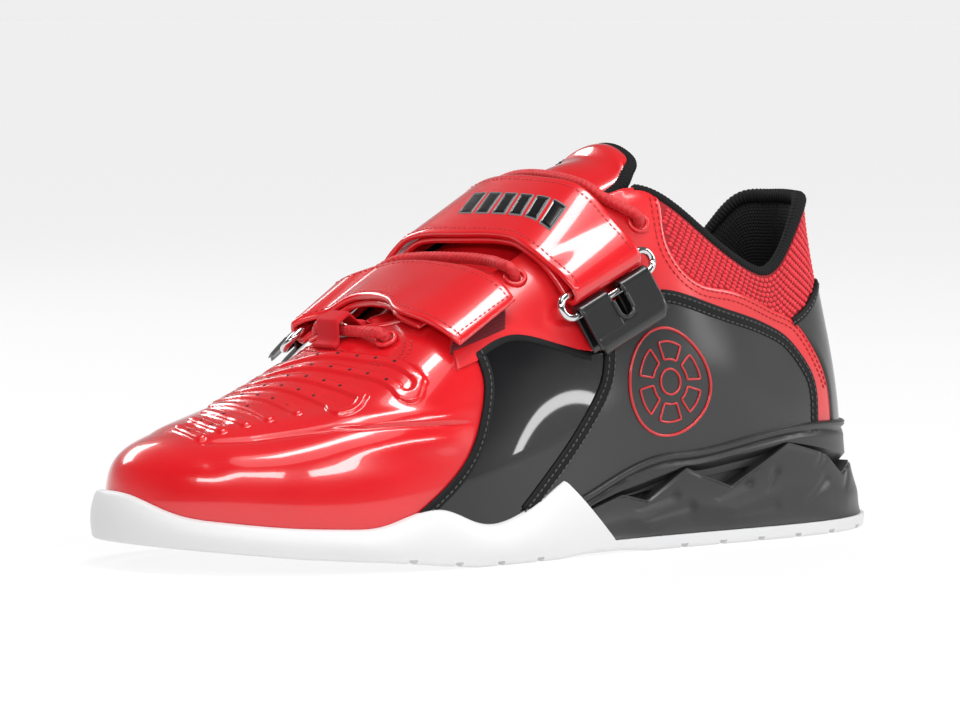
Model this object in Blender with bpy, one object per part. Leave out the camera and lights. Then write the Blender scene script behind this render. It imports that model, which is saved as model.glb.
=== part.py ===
"""Weightlifting shoe for the left foot.

Hollow upper with glued overlays, tongue, laces and two straps that turn back through metal rings,
on a white outsole with a raised black heel. X runs from heel to toe, +Y is the lateral side, +Z is up.
Every curved piece is read from one surface, skin(around, up), laid through named stations of the last.
"""
import math

import bmesh
import bpy
import numpy as np

MM = 0.001

# Driving sizes
LENGTH = 292 * MM
BALL_WIDTH = 108 * MM
COLLAR_HEIGHT = 115.5 * MM
COLLAR_WIDTH = 62 * MM
HEEL_BED = 26.5 * MM
TOE_SPRING = 9 * MM
RIM_HEIGHT = 25 * MM
CUP_HEIGHT = 38 * MM
PLATE_THICKNESS = 4.5 * MM
HEEL_FACE_FOOT = 133 * MM
HEEL_FACE_RUN = 20 * MM

# Walls and laid pieces
UPPER_WALL = 2.2 * MM
RIM_THICKNESS = 2.4 * MM
LIP_THICKNESS = 1.9 * MM
INSOLE_THICKNESS = 4 * MM
TONGUE_THICKNESS = 4 * MM
TONGUE_EDGE = 1.5 * MM
SADDLE_THICKNESS = 1.2 * MM
QUARTER_THICKNESS = 1.6 * MM
COUNTER_THICKNESS = 1.6 * MM
BINDING_DIAMETER = 4 * MM
STRAP_THICKNESS = 2.2 * MM
STRAP_LIFT = 3.3 * MM
STRAP_RAMP = 17 * MM
RING_WIRE = 2.6 * MM
RING_WIDTH = 10 * MM
RING_PLAY = 1.6 * MM
FOLD_PLAY = 0.7 * MM
TAB_THICKNESS = 1.4 * MM
TAB_LENGTH = 13 * MM
TAB_NOTCH = 6 * MM
LACE_DIAMETER = 3.8 * MM
LACE_BEND = 5.8 * MM
LACE_RAMP = 16 * MM
EYELET_DIAMETER = 8 * MM
EYELET_WIRE = 1.6 * MM
KEEPER_THICKNESS = 1.4 * MM

# Sole details
SOLE_EDGE = 2 * MM
RIM_BULGE = 1 * MM
RIDGE_STEP = 1.8 * MM
RIDGE_EDGE = 0.6 * MM
LIP_DEPTH = 3 * MM
WAIST_DEPTH = 2 * MM
TREAD_WIDTH = 3 * MM
TREAD_DEPTH = 1.5 * MM
TREAD_PITCH = 17 * MM

# Gaps between neighbours
CLEARANCE = 0.3 * MM
INSOLE_FIT = 0.5 * MM
OVERLAY_FOOT_GAP = 0.8 * MM

# Fineness of the meshes
AROUND_STEPS = 72
COLLAR_STEPS = 14
UP_STEPS = 10
EYELET_STEPS = 10

# Sole outline. Columns: station, along the length, lateral and medial half width of the ball width
OUTLINE = [
    ("heel centre", 0.000, 0.000, 0.000),
    ("heel round", 0.008, 0.125, 0.120),
    ("heel corner", 0.030, 0.222, 0.212),
    ("heel side", 0.075, 0.312, 0.300),
    ("heel", 0.165, 0.380, 0.355),
    ("ankle", 0.225, 0.395, 0.352),
    ("waist rear", 0.290, 0.405, 0.350),
    ("collar front", 0.360, 0.415, 0.352),
    ("waist", 0.430, 0.430, 0.365),
    ("waist front", 0.550, 0.470, 0.412),
    ("ball lateral", 0.650, 0.500, 0.470),
    ("ball medial", 0.750, 0.490, 0.500),
    ("fore toe", 0.855, 0.395, 0.458),
    ("toe shoulder", 0.930, 0.250, 0.388),
    ("toe corner", 0.975, 0.100, 0.285),
    ("toe tip", 1.000, -0.115, 0.115),
]

# Top line of the upper. Columns: station, along the length, lateral and medial side of the collar
# width, lateral and medial height of the collar height
TOP_LINE = [
    ("heel centre", 0.084, 0.00, 0.00, 0.972, 0.972),
    ("heel round", 0.088, 0.14, 0.14, 0.970, 0.970),
    ("heel corner", 0.103, 0.26, 0.26, 0.962, 0.962),
    ("heel side", 0.130, 0.35, 0.36, 0.886, 0.886),
    ("heel", 0.185, 0.44, 0.46, 0.766, 0.766),
    ("ankle", 0.232, 0.49, 0.50, 0.796, 0.796),
    ("waist rear", 0.288, 0.49, 0.51, 0.888, 0.888),
    ("collar front", 0.352, 0.43, 0.49, 1.003, 1.008),
    ("waist", 0.407, 0.32, 0.47, 1.010, 1.015),
    ("waist front", 0.483, 0.28, 0.46, 0.890, 0.915),
    ("ball lateral", 0.555, 0.27, 0.45, 0.785, 0.820),
    ("ball medial", 0.620, 0.22, 0.38, 0.708, 0.713),
    ("fore toe", 0.661, 0.12, 0.30, 0.664, 0.656),
    ("toe shoulder", 0.673, 0.04, 0.21, 0.658, 0.660),
    ("toe corner", 0.677, -0.02, 0.15, 0.655, 0.655),
    ("toe tip", 0.678, -0.08, 0.08, 0.654, 0.654),
]

# Side wall of the upper. Columns: station, inset of its foot from the outline of the ball width,
# straight rise and its lean in degrees, reach below the top line, lateral and medial fall in degrees,
# sag of the wall's middle; rise, reach and sag of the collar height
SIDE_WALL = [
    ("heel centre", 0.090, 0.27, -3, 0.22, 86, 86, 0.0),
    ("heel round", 0.090, 0.27, -2, 0.22, 86, 86, 0.0),
    ("heel corner", 0.088, 0.27, 0, 0.22, 86, 86, 0.0),
    ("heel side", 0.084, 0.27, 3, 0.22, 84, 84, 0.0),
    ("heel", 0.076, 0.23, 6, 0.19, 80, 80, 0.0),
    ("ankle", 0.070, 0.23, 6, 0.21, 78, 78, 0.0),
    ("waist rear", 0.067, 0.26, 6, 0.24, 74, 76, 0.0),
    ("collar front", 0.065, 0.29, 6, 0.27, 66, 70, 0.0),
    ("waist", 0.065, 0.31, 6, 0.28, 52, 62, 0.0),
    ("waist front", 0.056, 0.31, 6, 0.28, 36, 54, 0.0),
    ("ball lateral", 0.051, 0.29, 6, 0.30, 26, 44, 0.01),
    ("ball medial", 0.048, 0.29, 6, 0.34, 22, 36, 0.05),
    ("fore toe", 0.042, 0.38, 5, 0.36, 28, 34, 0.15),
    ("toe shoulder", 0.040, 0.41, 5, 0.40, 28, 29, 0.23),
    ("toe corner", 0.039, 0.42, 3, 0.42, 27, 27, 0.24),
    ("toe tip", 0.039, 0.42, 2, 0.42, 27, 27, 0.24),
]

# Height of the foot bed: along the length, of the heel's bed height
BED = [(0.0, 1.0), (0.15, 0.99), (0.30, 0.85), (0.43, 0.66), (0.55, 0.49),
       (0.65, 0.41), (0.75, 0.39), (0.855, 0.42), (0.93, 0.51), (1.0, 0.64)]

# Underside of the sole: along the length, of the toe spring
GROUND = [(0.0, 0.0), (0.40, 0.0), (0.44, 0.11), (0.50, 0.11), (0.54, 0.0),
          (0.66, 0.0), (0.77, 0.36), (0.86, 0.56), (1.0, 1.0)]

# Top of the white rim: around the shoe, of the rim height
WHITE_RIM = [(0.0, 1.0), (0.20, 1.0), (0.258, 1.0), (0.271, 0.81), (0.289, 0.60), (0.304, 0.53),
             (0.315, 0.58), (0.331, 0.74), (0.340, 0.77), (0.353, 0.70), (0.367, 0.585),
             (0.387, 0.565), (0.407, 0.585), (0.440, 0.66), (0.463, 0.75), (0.475, 0.86),
             (0.487, 0.96), (0.50, 0.99), (0.52, 0.97), (0.55, 0.86), (0.58, 0.68), (0.61, 0.57),
             (0.66, 0.53), (0.70, 0.56), (0.725, 0.75), (0.742, 1.0), (0.80, 1.0), (1.0, 1.0)]

# Top of the black cup, half way round and the same on both sides: of the cup height
CUP_TOP = [(0.0, 0.97), (0.05, 0.98), (0.09, 1.0), (0.134, 0.93), (0.172, 0.84),
           (0.191, 0.825), (0.223, 0.66), (0.25, 0.48), (0.29, 0.42), (0.50, 0.42)]

# Crest of the folds moulded in the heel's side: of the cup height
RIDGE = [(0.0, 0.50), (0.040, 0.60), (0.062, 0.52), (0.076, 0.70), (0.108, 0.84), (0.148, 0.50),
         (0.167, 0.62), (0.177, 0.69), (0.203, 0.43), (0.218, 0.50), (0.25, 0.34), (0.50, 0.34)]

# Seams of the overlays: around the shoe, up the side wall
SADDLE_FRONT = [(0.356, 0.035), (0.336, 0.14), (0.318, 0.268), (0.311, 0.42), (0.311, 0.52), (0.317, 0.628)]
SADDLE_TOP = [(0.317, 0.628), (0.295, 0.640), (0.266, 0.550), (0.236, 0.455)]
QUARTER_FRONT = [(0.284, 0.052), (0.268, 0.135), (0.249, 0.235), (0.238, 0.305), (0.230, 0.378), (0.228, 0.517)]
QUARTER_TOP = [(0.228, 0.517), (0.212, 0.640), (0.192, 0.630), (0.175, 0.585), (0.153, 0.613),
               (0.131, 0.630), (0.105, 0.542)]
QUARTER_REAR = [(0.083, 0.10), (0.085, 0.155), (0.088, 0.31), (0.092, 0.415), (0.105, 0.542)]
COUNTER_FRONT = [(0.066, 0.10), (0.068, 0.147), (0.071, 0.288), (0.079, 0.47), (0.090, 0.657)]
COUNTER_TOP = [(0.090, 0.657), (0.070, 0.628), (0.047, 0.58), (0.02, 0.555), (0.0, 0.55),
               (-0.02, 0.555), (-0.047, 0.58), (-0.070, 0.628), (-0.090, 0.657)]
SEAM_GAP = 0.003

# Straps, across the instep. Columns: place, rear edge and front edge, each as around the shoe
# and as distance from the middle of the ball width, lateral positive
LOWER_STRAP = [
    ("free end", 0.294, 0.407, 0.331, 0.481),
    ("lateral", 0.300, 0.343, 0.343, 0.398),
    ("lateral shoulder", 0.315, 0.231, 0.366, 0.259),
    ("crest", 0.334, 0.065, 0.405, 0.074),
    ("instep", 0.341, -0.074, 0.430, -0.074),
    ("medial shoulder", 0.343, -0.222, 0.415, -0.222),
    ("fold", 0.340, -0.360, 0.398, -0.350),
]
UPPER_STRAP = [
    ("free end", 0.240, -0.574, 0.300, -0.574),
    ("medial", 0.246, -0.370, 0.310, -0.370),
    ("medial shoulder", 0.250, -0.204, 0.316, -0.204),
    ("instep", 0.247, -0.056, 0.312, -0.056),
    ("crest", 0.240, 0.074, 0.300, 0.074),
    ("lateral shoulder", 0.225, 0.222, 0.283, 0.231),
    ("lateral", 0.215, 0.352, 0.266, 0.370),
    ("fold", 0.208, 0.455, 0.256, 0.472),
]
STRAP_ROOT = 0.78

# Tongue, from its front end up. Columns: around the shoe, half width of the collar width
TONGUE = [(0.46, 0.32), (0.43, 0.38), (0.40, 0.42), (0.37, 0.45), (0.34, 0.47), (0.31, 0.48),
          (0.28, 0.48), (0.25, 0.46), (0.22, 0.42), (0.20, 0.38)]
# Its free end. Columns: along the length, rise of the collar height, half width of the collar width
TONGUE_TIP = [(-0.014, 0.032, 0.34), (-0.032, 0.045, 0.26)]
TONGUE_SHIFT = 0.06

# Laces. Columns: around the shoe, distance from the middle of the ball width
MIDDLE_LACE = [(0.291, 0.29), (0.301, 0.22), (0.316, 0.07), (0.326, -0.06), (0.329, -0.20), (0.325, -0.34)]
TOP_LACE = [(0.198, 0.36), (0.213, 0.26), (0.230, 0.10), (0.237, -0.10), (0.235, -0.27), (0.222, -0.40)]
# The front lace lies on the vamp: around the shoe, up the side wall
FRONT_LACE = [(0.393, 0.885), (0.43, 0.925), (0.47, 0.94), (0.50, 0.94), (0.53, 0.94), (0.555, 0.915)]
KEEPER_SPAN = (0.478, 0.522)
KEEPER_UP = (0.885, 0.905, 0.922, 0.958, 0.975, 0.992)

# Colours as red, green, blue, then roughness and metallic
FINISHES = {
    "white_rubber": (0.85, 0.85, 0.86, 0.50, 0.0),
    "black_rubber": (0.03, 0.03, 0.032, 0.55, 0.0),
    "red_leather": (0.62, 0.015, 0.02, 0.30, 0.0),
    "black_leather": (0.02, 0.02, 0.022, 0.25, 0.0),
    "black_knit": (0.02, 0.02, 0.02, 0.85, 0.0),
    "red_tape": (0.55, 0.015, 0.02, 0.30, 0.0),
    "red_cord": (0.60, 0.02, 0.03, 0.60, 0.0),
    "chrome": (0.80, 0.80, 0.80, 0.12, 1.0),
    "insole_foam": (0.03, 0.03, 0.03, 0.90, 0.0),
}


def clear_scene():
    for thing in list(bpy.data.objects):
        bpy.data.objects.remove(thing, do_unlink=True)


def make_materials():
    made = {}
    for name, (red, green, blue, roughness, metallic) in FINISHES.items():
        material = bpy.data.materials.new(name)
        material.use_nodes = True
        shader = material.node_tree.nodes["Principled BSDF"]
        shader.inputs["Base Color"].default_value = (red, green, blue, 1.0)
        shader.inputs["Roughness"].default_value = roughness
        shader.inputs["Metallic"].default_value = metallic
        made[name] = material
    return made


# Curves through table rows

def spline_weights(knots, values, moments, at):
    """Cubic pieces between the knots, from the second derivatives at them."""
    piece = np.clip(np.searchsorted(knots, at, side="right") - 1, 0, len(knots) - 2)
    before = (at - knots[piece])[..., None]
    after = (knots[piece + 1] - at)[..., None]
    span = (knots[piece + 1] - knots[piece])[..., None]
    bend = (moments[piece] * after**3 + moments[piece + 1] * before**3) / (6 * span)
    start = (values[piece] / span - moments[piece] * span / 6) * after
    end = (values[piece + 1] / span - moments[piece + 1] * span / 6) * before
    return bend + start + end


def closed_spline(knots, values, at):
    """Smooth closed curve: the knots run from 0 to 1 and the last row repeats the first."""
    count = len(knots) - 1
    span = np.diff(knots)
    slope = np.diff(values, axis=0) / span[:, None]
    matrix = np.zeros((count, count))
    side = np.zeros((count, values.shape[1]))
    for row in range(count):
        before = (row - 1) % count
        matrix[row, before] += span[before]
        matrix[row, row] += 2 * (span[before] + span[row])
        matrix[row, (row + 1) % count] += span[row]
        side[row] = 6 * (slope[row] - slope[before])
    moments = np.linalg.solve(matrix, side)
    moments = np.vstack([moments, moments[:1]])
    return spline_weights(knots, values, moments, np.mod(np.asarray(at, float), 1.0))


def open_spline(knots, values, at):
    """Smooth open curve with straight ends."""
    knots = np.asarray(knots, float)
    values = np.asarray(values, float)
    flat = values.ndim == 1
    if flat:
        values = values[:, None]
    count = len(knots)
    span = np.diff(knots)
    slope = np.diff(values, axis=0) / span[:, None]
    matrix = np.eye(count)
    side = np.zeros((count, values.shape[1]))
    for row in range(1, count - 1):
        matrix[row, row - 1] = span[row - 1]
        matrix[row, row] = 2 * (span[row - 1] + span[row])
        matrix[row, row + 1] = span[row]
        side[row] = 6 * (slope[row] - slope[row - 1])
    moments = np.linalg.solve(matrix, side)
    result = spline_weights(knots, values, moments, np.clip(at, knots[0], knots[-1]))
    return result[..., 0] if flat else result


def mirrored(rows):
    """Rows of half the shoe, given again on the medial side."""
    return list(rows) + [(1.0 - place, value) for place, value in rows[-2::-1]]


def linear(rows, at):
    places = [row[0] for row in rows]
    values = [row[1] for row in rows]
    return np.interp(at, places, values)


# The last: one surface for the whole upper

def both_sides(lateral, medial):
    """Rows of the lateral side from heel to toe, then those of the medial side back to the heel."""
    return np.array(list(lateral) + list(medial[-2:0:-1]) + [lateral[0]], float)


def station_knots():
    """Where each station lies around the shoe, the same on both sides, so that sides pair up."""
    places = np.array([(along * LENGTH, (lateral + medial) / 2 * BALL_WIDTH)
                       for _, along, lateral, medial in OUTLINE])
    steps = np.linalg.norm(np.diff(places, axis=0), axis=1)
    steps = np.concatenate([steps, steps[::-1]])
    return np.concatenate([[0.0], np.cumsum(steps)]) / steps.sum()


def outline_rows():
    lateral = [(along * LENGTH, wide * BALL_WIDTH) for _, along, wide, _ in OUTLINE]
    medial = [(along * LENGTH, -wide * BALL_WIDTH) for _, along, _, wide in OUTLINE]
    return both_sides(lateral, medial)


def wall_rows():
    """Foot inset, top line point, rise, lean, reach, sag and fall at each station."""
    lateral, medial = [], []
    for top, wall in zip(TOP_LINE, SIDE_WALL):
        _, along, out_lateral, out_medial, high_lateral, high_medial = top
        _, inset, rise, lean, reach, fall_lateral, fall_medial, sag = wall
        shared = (inset * BALL_WIDTH, along * LENGTH)
        lengths = (rise * COLLAR_HEIGHT, lean, reach * COLLAR_HEIGHT, sag * COLLAR_HEIGHT)
        lateral.append(shared + (out_lateral * COLLAR_WIDTH, high_lateral * COLLAR_HEIGHT)
                       + lengths + (fall_lateral,))
        medial.append(shared + (-out_medial * COLLAR_WIDTH, high_medial * COLLAR_HEIGHT)
                      + lengths + (fall_medial,))
    return both_sides(lateral, medial)


KNOTS = station_knots()
OUTLINE_ROWS = outline_rows()
WALL_ROWS = wall_rows()
UP = np.array([0.0, 0.0, 1.0])


def outline(around):
    return closed_spline(KNOTS, OUTLINE_ROWS, around)


def outward(around):
    """Level direction away from the foot, square to the outline."""
    step = 0.0005
    travel = outline(np.asarray(around) + step) - outline(np.asarray(around) - step)
    normal = np.stack([-travel[..., 1], travel[..., 0]], axis=-1)
    return normal / np.linalg.norm(normal, axis=-1, keepdims=True)


def level(vectors):
    return np.concatenate([vectors, np.zeros(vectors.shape[:-1] + (1,))], axis=-1)


def bed_height(along):
    return open_spline([row[0] * LENGTH for row in BED], [row[1] * HEEL_BED for row in BED], along)


def ground_height(along):
    return np.interp(along, [row[0] * LENGTH for row in GROUND], [row[1] * TOE_SPRING for row in GROUND])


def skin_point(around, up):
    """Outer face of the upper: up is 0 at its foot on the bed and 1 at the top line."""
    around, up = np.broadcast_arrays(np.asarray(around, float), np.asarray(up, float))
    values = closed_spline(KNOTS, WALL_ROWS, around)
    inset, along, side, high, rise, lean, reach, sag, fall = [values[..., column] for column in range(9)]
    normal = outward(around)
    flat = outline(around) - normal * inset[..., None]
    foot = np.concatenate([flat, (bed_height(flat[..., 0]) + CLEARANCE)[..., None]], axis=-1)
    top = np.stack([along, side, high], axis=-1)
    lean = np.radians(lean)[..., None]
    fall = np.radians(fall)[..., None]
    low_handle = foot + (UP * np.cos(lean) + level(normal) * np.sin(lean)) * rise[..., None]
    spread = level((foot - top)[..., :2])
    spread = spread / np.linalg.norm(spread, axis=-1, keepdims=True)
    top_handle = top + (spread * np.cos(fall) - UP * np.sin(fall)) * reach[..., None]
    t = up[..., None]
    s = 1 - t
    wall = foot * s**3 + low_handle * 3 * t * s**2 + top_handle * 3 * t**2 * s + top * t**3
    return wall - UP * (6 * t**2 * s**2) * sag[..., None]


def skin_normal(around, up):
    step = 0.001
    around, up = np.broadcast_arrays(np.asarray(around, float), np.asarray(up, float))
    along = skin_point(around + step, up) - skin_point(around - step, up)
    rising = skin_point(around, np.minimum(up + step, 1)) - skin_point(around, np.maximum(up - step, 0))
    normal = np.cross(rising, along)
    return normal / np.linalg.norm(normal, axis=-1, keepdims=True)


def skin(around, up, lift=0.0):
    """Point above the upper's outer face, or inside it where lift is negative."""
    point = skin_point(around, up)
    if np.isscalar(lift) and lift == 0.0:
        return point
    return point + skin_normal(around, up) * np.asarray(lift)[..., None]


def up_at_height(around, height):
    """How far up the side wall the upper reaches a height."""
    around, height = np.broadcast_arrays(np.asarray(around, float), np.asarray(height, float))
    low = np.zeros(around.shape)
    high = np.full(around.shape, 0.8)
    for _ in range(24):
        middle = (low + high) / 2
        below = skin_point(around, middle)[..., 2] < height
        low = np.where(below, middle, low)
        high = np.where(below, high, middle)
    return (low + high) / 2


# The instep: the side walls bridged across the throat

GIRTH_COUNT = 181
GIRTH_REACH = 0.72
GIRTH_AROUND = np.linspace(0.15, 0.47, 65)
GIRTH_ACROSS = np.linspace(-GIRTH_REACH, GIRTH_REACH, GIRTH_COUNT) * BALL_WIDTH
CROWN = 0.55


def girth_line(around):
    """Line from the lateral wall over the throat to the medial wall, by distance from the middle."""
    up = np.linspace(0.15, 1.0, 90)
    lateral = skin_point(np.full_like(up, around), up)
    medial = skin_point(np.full_like(up, 1 - around), up)
    leave = lateral[-1] - lateral[-2]
    arrive = medial[-1] - medial[-2]
    reach = np.linalg.norm(lateral[-1] - medial[-1]) * CROWN / 2
    start_handle = lateral[-1] + leave / np.linalg.norm(leave) * reach
    end_handle = medial[-1] + arrive / np.linalg.norm(arrive) * reach
    t = np.linspace(0, 1, 42)[1:-1, None]
    s = 1 - t
    bridge = (lateral[-1] * s**3 + start_handle * 3 * t * s**2
              + end_handle * 3 * t**2 * s + medial[-1] * t**3)
    line = np.vstack([lateral, bridge, medial[::-1]])
    distance = np.concatenate([[0.0], np.cumsum(np.linalg.norm(np.diff(line, axis=0), axis=1))])
    middle = np.interp(0.0, -line[:, 1], distance)
    across = (middle - distance)[::-1]
    line = line[::-1]
    return np.stack([np.interp(GIRTH_ACROSS, across, line[:, axis]) for axis in range(3)], axis=-1)


def instep_grid():
    points = np.array([girth_line(around) for around in GIRTH_AROUND])
    normals = np.cross(np.gradient(points, axis=1), np.gradient(points, axis=0))
    lengths = np.linalg.norm(normals, axis=-1, keepdims=True)
    normals = normals / np.maximum(lengths, 1e-12)
    if normals[len(points) // 2, GIRTH_COUNT // 2, 2] < 0:
        normals = -normals
    return points, normals


INSTEP_POINTS, INSTEP_NORMALS = instep_grid()


def read_grid(grid, around, across):
    """Value between the grid's rows and columns."""
    row = np.interp(around, GIRTH_AROUND, np.arange(len(GIRTH_AROUND)))
    column = np.interp(across, GIRTH_ACROSS, np.arange(GIRTH_COUNT))
    low_row = np.minimum(row.astype(int), len(GIRTH_AROUND) - 2)
    low_column = np.minimum(column.astype(int), GIRTH_COUNT - 2)
    down = (row - low_row)[..., None]
    right = (column - low_column)[..., None]
    near = grid[low_row, low_column] * (1 - right) + grid[low_row, low_column + 1] * right
    far = grid[low_row + 1, low_column] * (1 - right) + grid[low_row + 1, low_column + 1] * right
    return near * (1 - down) + far * down


def instep(around, across, lift=0.0):
    around, across, lift = np.broadcast_arrays(np.asarray(around, float), np.asarray(across, float),
                                               np.asarray(lift, float))
    normal = read_grid(INSTEP_NORMALS, around, across)
    normal = normal / np.linalg.norm(normal, axis=-1, keepdims=True)
    return read_grid(INSTEP_POINTS, around, across) + normal * lift[..., None]


def throat_edges(around):
    """Distances from the middle to the medial and the lateral edge of the throat."""
    line = instep(np.full(GIRTH_COUNT, around), GIRTH_ACROSS)
    edges = []
    for place in (1 - around, around):
        gap = np.linalg.norm(line - skin_point(place, 1.0), axis=1)
        edges.append(GIRTH_ACROSS[np.argmin(gap)])
    return edges


# Meshes

def add_object(name, vertices, faces, material, smooth=True):
    mesh = bpy.data.meshes.new(name)
    mesh.from_pydata([tuple(map(float, vertex)) for vertex in vertices], [], faces)
    work = bmesh.new()
    work.from_mesh(mesh)
    bmesh.ops.triangulate(work, faces=work.faces)
    bmesh.ops.recalc_face_normals(work, faces=work.faces)
    work.to_mesh(mesh)
    work.free()
    mesh.materials.append(material)
    thing = bpy.data.objects.new(name, mesh)
    bpy.context.scene.collection.objects.link(thing)
    if smooth:
        mesh.shade_smooth()
        mesh.set_sharp_from_angle(angle=math.radians(35))
    return thing


def strip_faces(rows, columns, start=0, wrap=False):
    """Quads between neighbouring rows of a vertex grid."""
    faces = []
    for row in range(rows - 1):
        for column in range(columns if wrap else columns - 1):
            following = (column + 1) % columns
            first = start + row * columns
            second = first + columns
            faces.append((first + column, first + following, second + following, second + column))
    return faces


def sheet_solid(name, outer, inner, material):
    """Closed sheet between two open grids of the same size."""
    rows, columns = outer.shape[:2]
    count = rows * columns
    faces = strip_faces(rows, columns) + strip_faces(rows, columns, count)
    border = [column for column in range(columns)]
    border += [row * columns + columns - 1 for row in range(1, rows)]
    border += [(rows - 1) * columns + column for column in range(columns - 2, -1, -1)]
    border += [row * columns for row in range(rows - 2, 0, -1)]
    for place, here in enumerate(border):
        following = border[(place + 1) % len(border)]
        faces.append((here, following, following + count, here + count))
    vertices = np.concatenate([outer.reshape(-1, 3), inner.reshape(-1, 3)])
    return add_object(name, vertices, faces, material)


def ring_solid(name, rings, material):
    """Closed body through rings that pair up left and right, capped across at both ends."""
    columns = len(rings[0])
    half = columns // 2
    faces = strip_faces(len(rings), columns, wrap=True)
    for start in (0, (len(rings) - 1) * columns):
        faces.append((start, start + 1, start + columns - 1))
        for place in range(1, half - 1):
            faces.append((start + place, start + place + 1,
                          start + columns - place - 1, start + columns - place))
        faces.append((start + half - 1, start + half, start + half + 1))
    return add_object(name, np.concatenate(rings), faces, material)


def tube_solid(name, path, normals, radius, material, sides=8, closed=False):
    """Round bar along a path, with flat ends where it is open."""
    path = np.asarray(path)
    if closed:
        travel = np.roll(path, -1, axis=0) - np.roll(path, 1, axis=0)
    else:
        travel = np.gradient(path, axis=0)
    travel = travel / np.linalg.norm(travel, axis=1, keepdims=True)
    across = np.cross(travel, normals)
    across = across / np.linalg.norm(across, axis=1, keepdims=True)
    above = np.cross(across, travel)
    turn = np.arange(sides) * 2 * math.pi / sides
    circle = (across[:, None] * np.cos(turn)[None, :, None] + above[:, None] * np.sin(turn)[None, :, None])
    rings = path[:, None] + circle * radius
    rows = len(path)
    faces = strip_faces(rows, sides, wrap=True)
    if closed:
        last = (rows - 1) * sides
        faces += [(last + side, last + (side + 1) % sides, (side + 1) % sides, side) for side in range(sides)]
    else:
        faces.append(tuple(range(sides)))
        faces.append(tuple(range((rows - 1) * sides, rows * sides)))
    return add_object(name, rings.reshape(-1, 3), faces, material)


def folded_band(name, centre, near, far, thickness, material):
    """Band whose long section follows a folded line.

    centre holds the line in its own plane, and near and far turn such a line into points in space.
    """
    travel = np.gradient(centre, axis=0)
    travel = travel / np.linalg.norm(travel, axis=1, keepdims=True)
    side = np.stack([-travel[:, 1], travel[:, 0]], axis=1) * thickness / 2
    outer = np.stack([near(centre + side), far(centre + side)], axis=1)
    inner = np.stack([near(centre - side), far(centre - side)], axis=1)
    return sheet_solid(name, outer, inner, material)


def cut(thing, cutter, operation):
    """Applies a Boolean and removes the cutter."""
    modifier = thing.modifiers.new(operation.lower(), "BOOLEAN")
    modifier.operation = operation
    modifier.object = cutter
    modifier.solver = "EXACT"
    bpy.context.view_layer.update()
    evaluated = thing.evaluated_get(bpy.context.evaluated_depsgraph_get())
    shape = bpy.data.meshes.new_from_object(evaluated)
    thing.modifiers.clear()
    thing.data = shape
    bpy.data.objects.remove(cutter, do_unlink=True)


# Sole

def around_samples():
    return np.arange(AROUND_STEPS) / AROUND_STEPS


def rim_height(around):
    around = np.mod(around, 1.0)
    return open_spline([row[0] for row in WHITE_RIM], [row[1] for row in WHITE_RIM], around) * RIM_HEIGHT


def cup_height(around):
    rows = mirrored(CUP_TOP)
    around = np.mod(around, 1.0)
    return open_spline([row[0] for row in rows], [row[1] for row in rows], around) * CUP_HEIGHT


def face_along(height):
    """Where the slanted face between outsole and heel lies at a height."""
    slope = HEEL_FACE_RUN / (RIM_HEIGHT - PLATE_THICKNESS)
    return HEEL_FACE_FOOT + slope * (height - PLATE_THICKNESS)


def sole_edge(around):
    """Height of whatever sole piece wraps the upper at this place."""
    rim = rim_height(around)
    cup = cup_height(around)
    along = outline(around)[..., 0]
    lower = np.where(along > HEEL_FACE_FOOT, np.minimum(cup, rim), cup)
    return np.where(along > face_along(rim), rim, lower)


def wall_rings(around, height, steps):
    """Rings inside the sole's wall, from its top edge down to the bed, just off the upper."""
    top = up_at_height(around, height)
    rings = []
    for share in np.linspace(1.0, 0.0, steps):
        ring = skin(around, top * share, CLEARANCE)
        if share == 0.0:
            ring[:, 2] = bed_height(ring[:, 0])
        rings.append(ring)
    return rings


def edge_ring(around, inset, height):
    flat = outline(around) - outward(around) * inset
    return np.concatenate([flat, np.broadcast_to(height, around.shape)[:, None]], axis=1)


def sole_prism(name, gap, material):
    """Space above the heel plate and behind the slanted face, narrowed by a gap."""
    low = PLATE_THICKNESS + gap
    high = CUP_HEIGHT + HEEL_BED
    rear = -LENGTH / 4
    profile = [(rear, low), (face_along(low) - gap * 1.5, low), (face_along(high) - gap * 1.5, high), (rear, high)]
    vertices = [(along, side, tall) for side in (-BALL_WIDTH, BALL_WIDTH) for along, tall in profile]
    faces = [(0, 1, 2, 3), (7, 6, 5, 4)] + [(i, (i + 1) % 4, (i + 1) % 4 + 4, i + 4) for i in range(4)]
    return add_object(name, vertices, faces, material, smooth=False)


def tread_cutter(material):
    """Level bars that cut the grooves across the heel and the forefoot."""
    vertices, faces = [], []
    flats = ((0.06 * LENGTH, 0.38 * LENGTH), (0.57 * LENGTH, 0.80 * LENGTH))
    for rear, front in flats:
        count = int((front - rear) / TREAD_PITCH) + 1
        for step in range(count):
            along = rear + step * TREAD_PITCH
            deep = TREAD_DEPTH + float(ground_height(along))
            start = len(vertices)
            for side in (-BALL_WIDTH, BALL_WIDTH):
                for end in (-TREAD_WIDTH / 2, TREAD_WIDTH / 2):
                    for tall in (-SOLE_EDGE, deep):
                        vertices.append((along + end, side, tall))
            faces += [tuple(start + corner for corner in face) for face in
                      ((0, 1, 3, 2), (4, 6, 7, 5), (0, 4, 5, 1), (2, 3, 7, 6), (0, 2, 6, 4), (1, 5, 7, 3))]
    return add_object("tread_cutter", vertices, faces, material, smooth=False)


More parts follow.
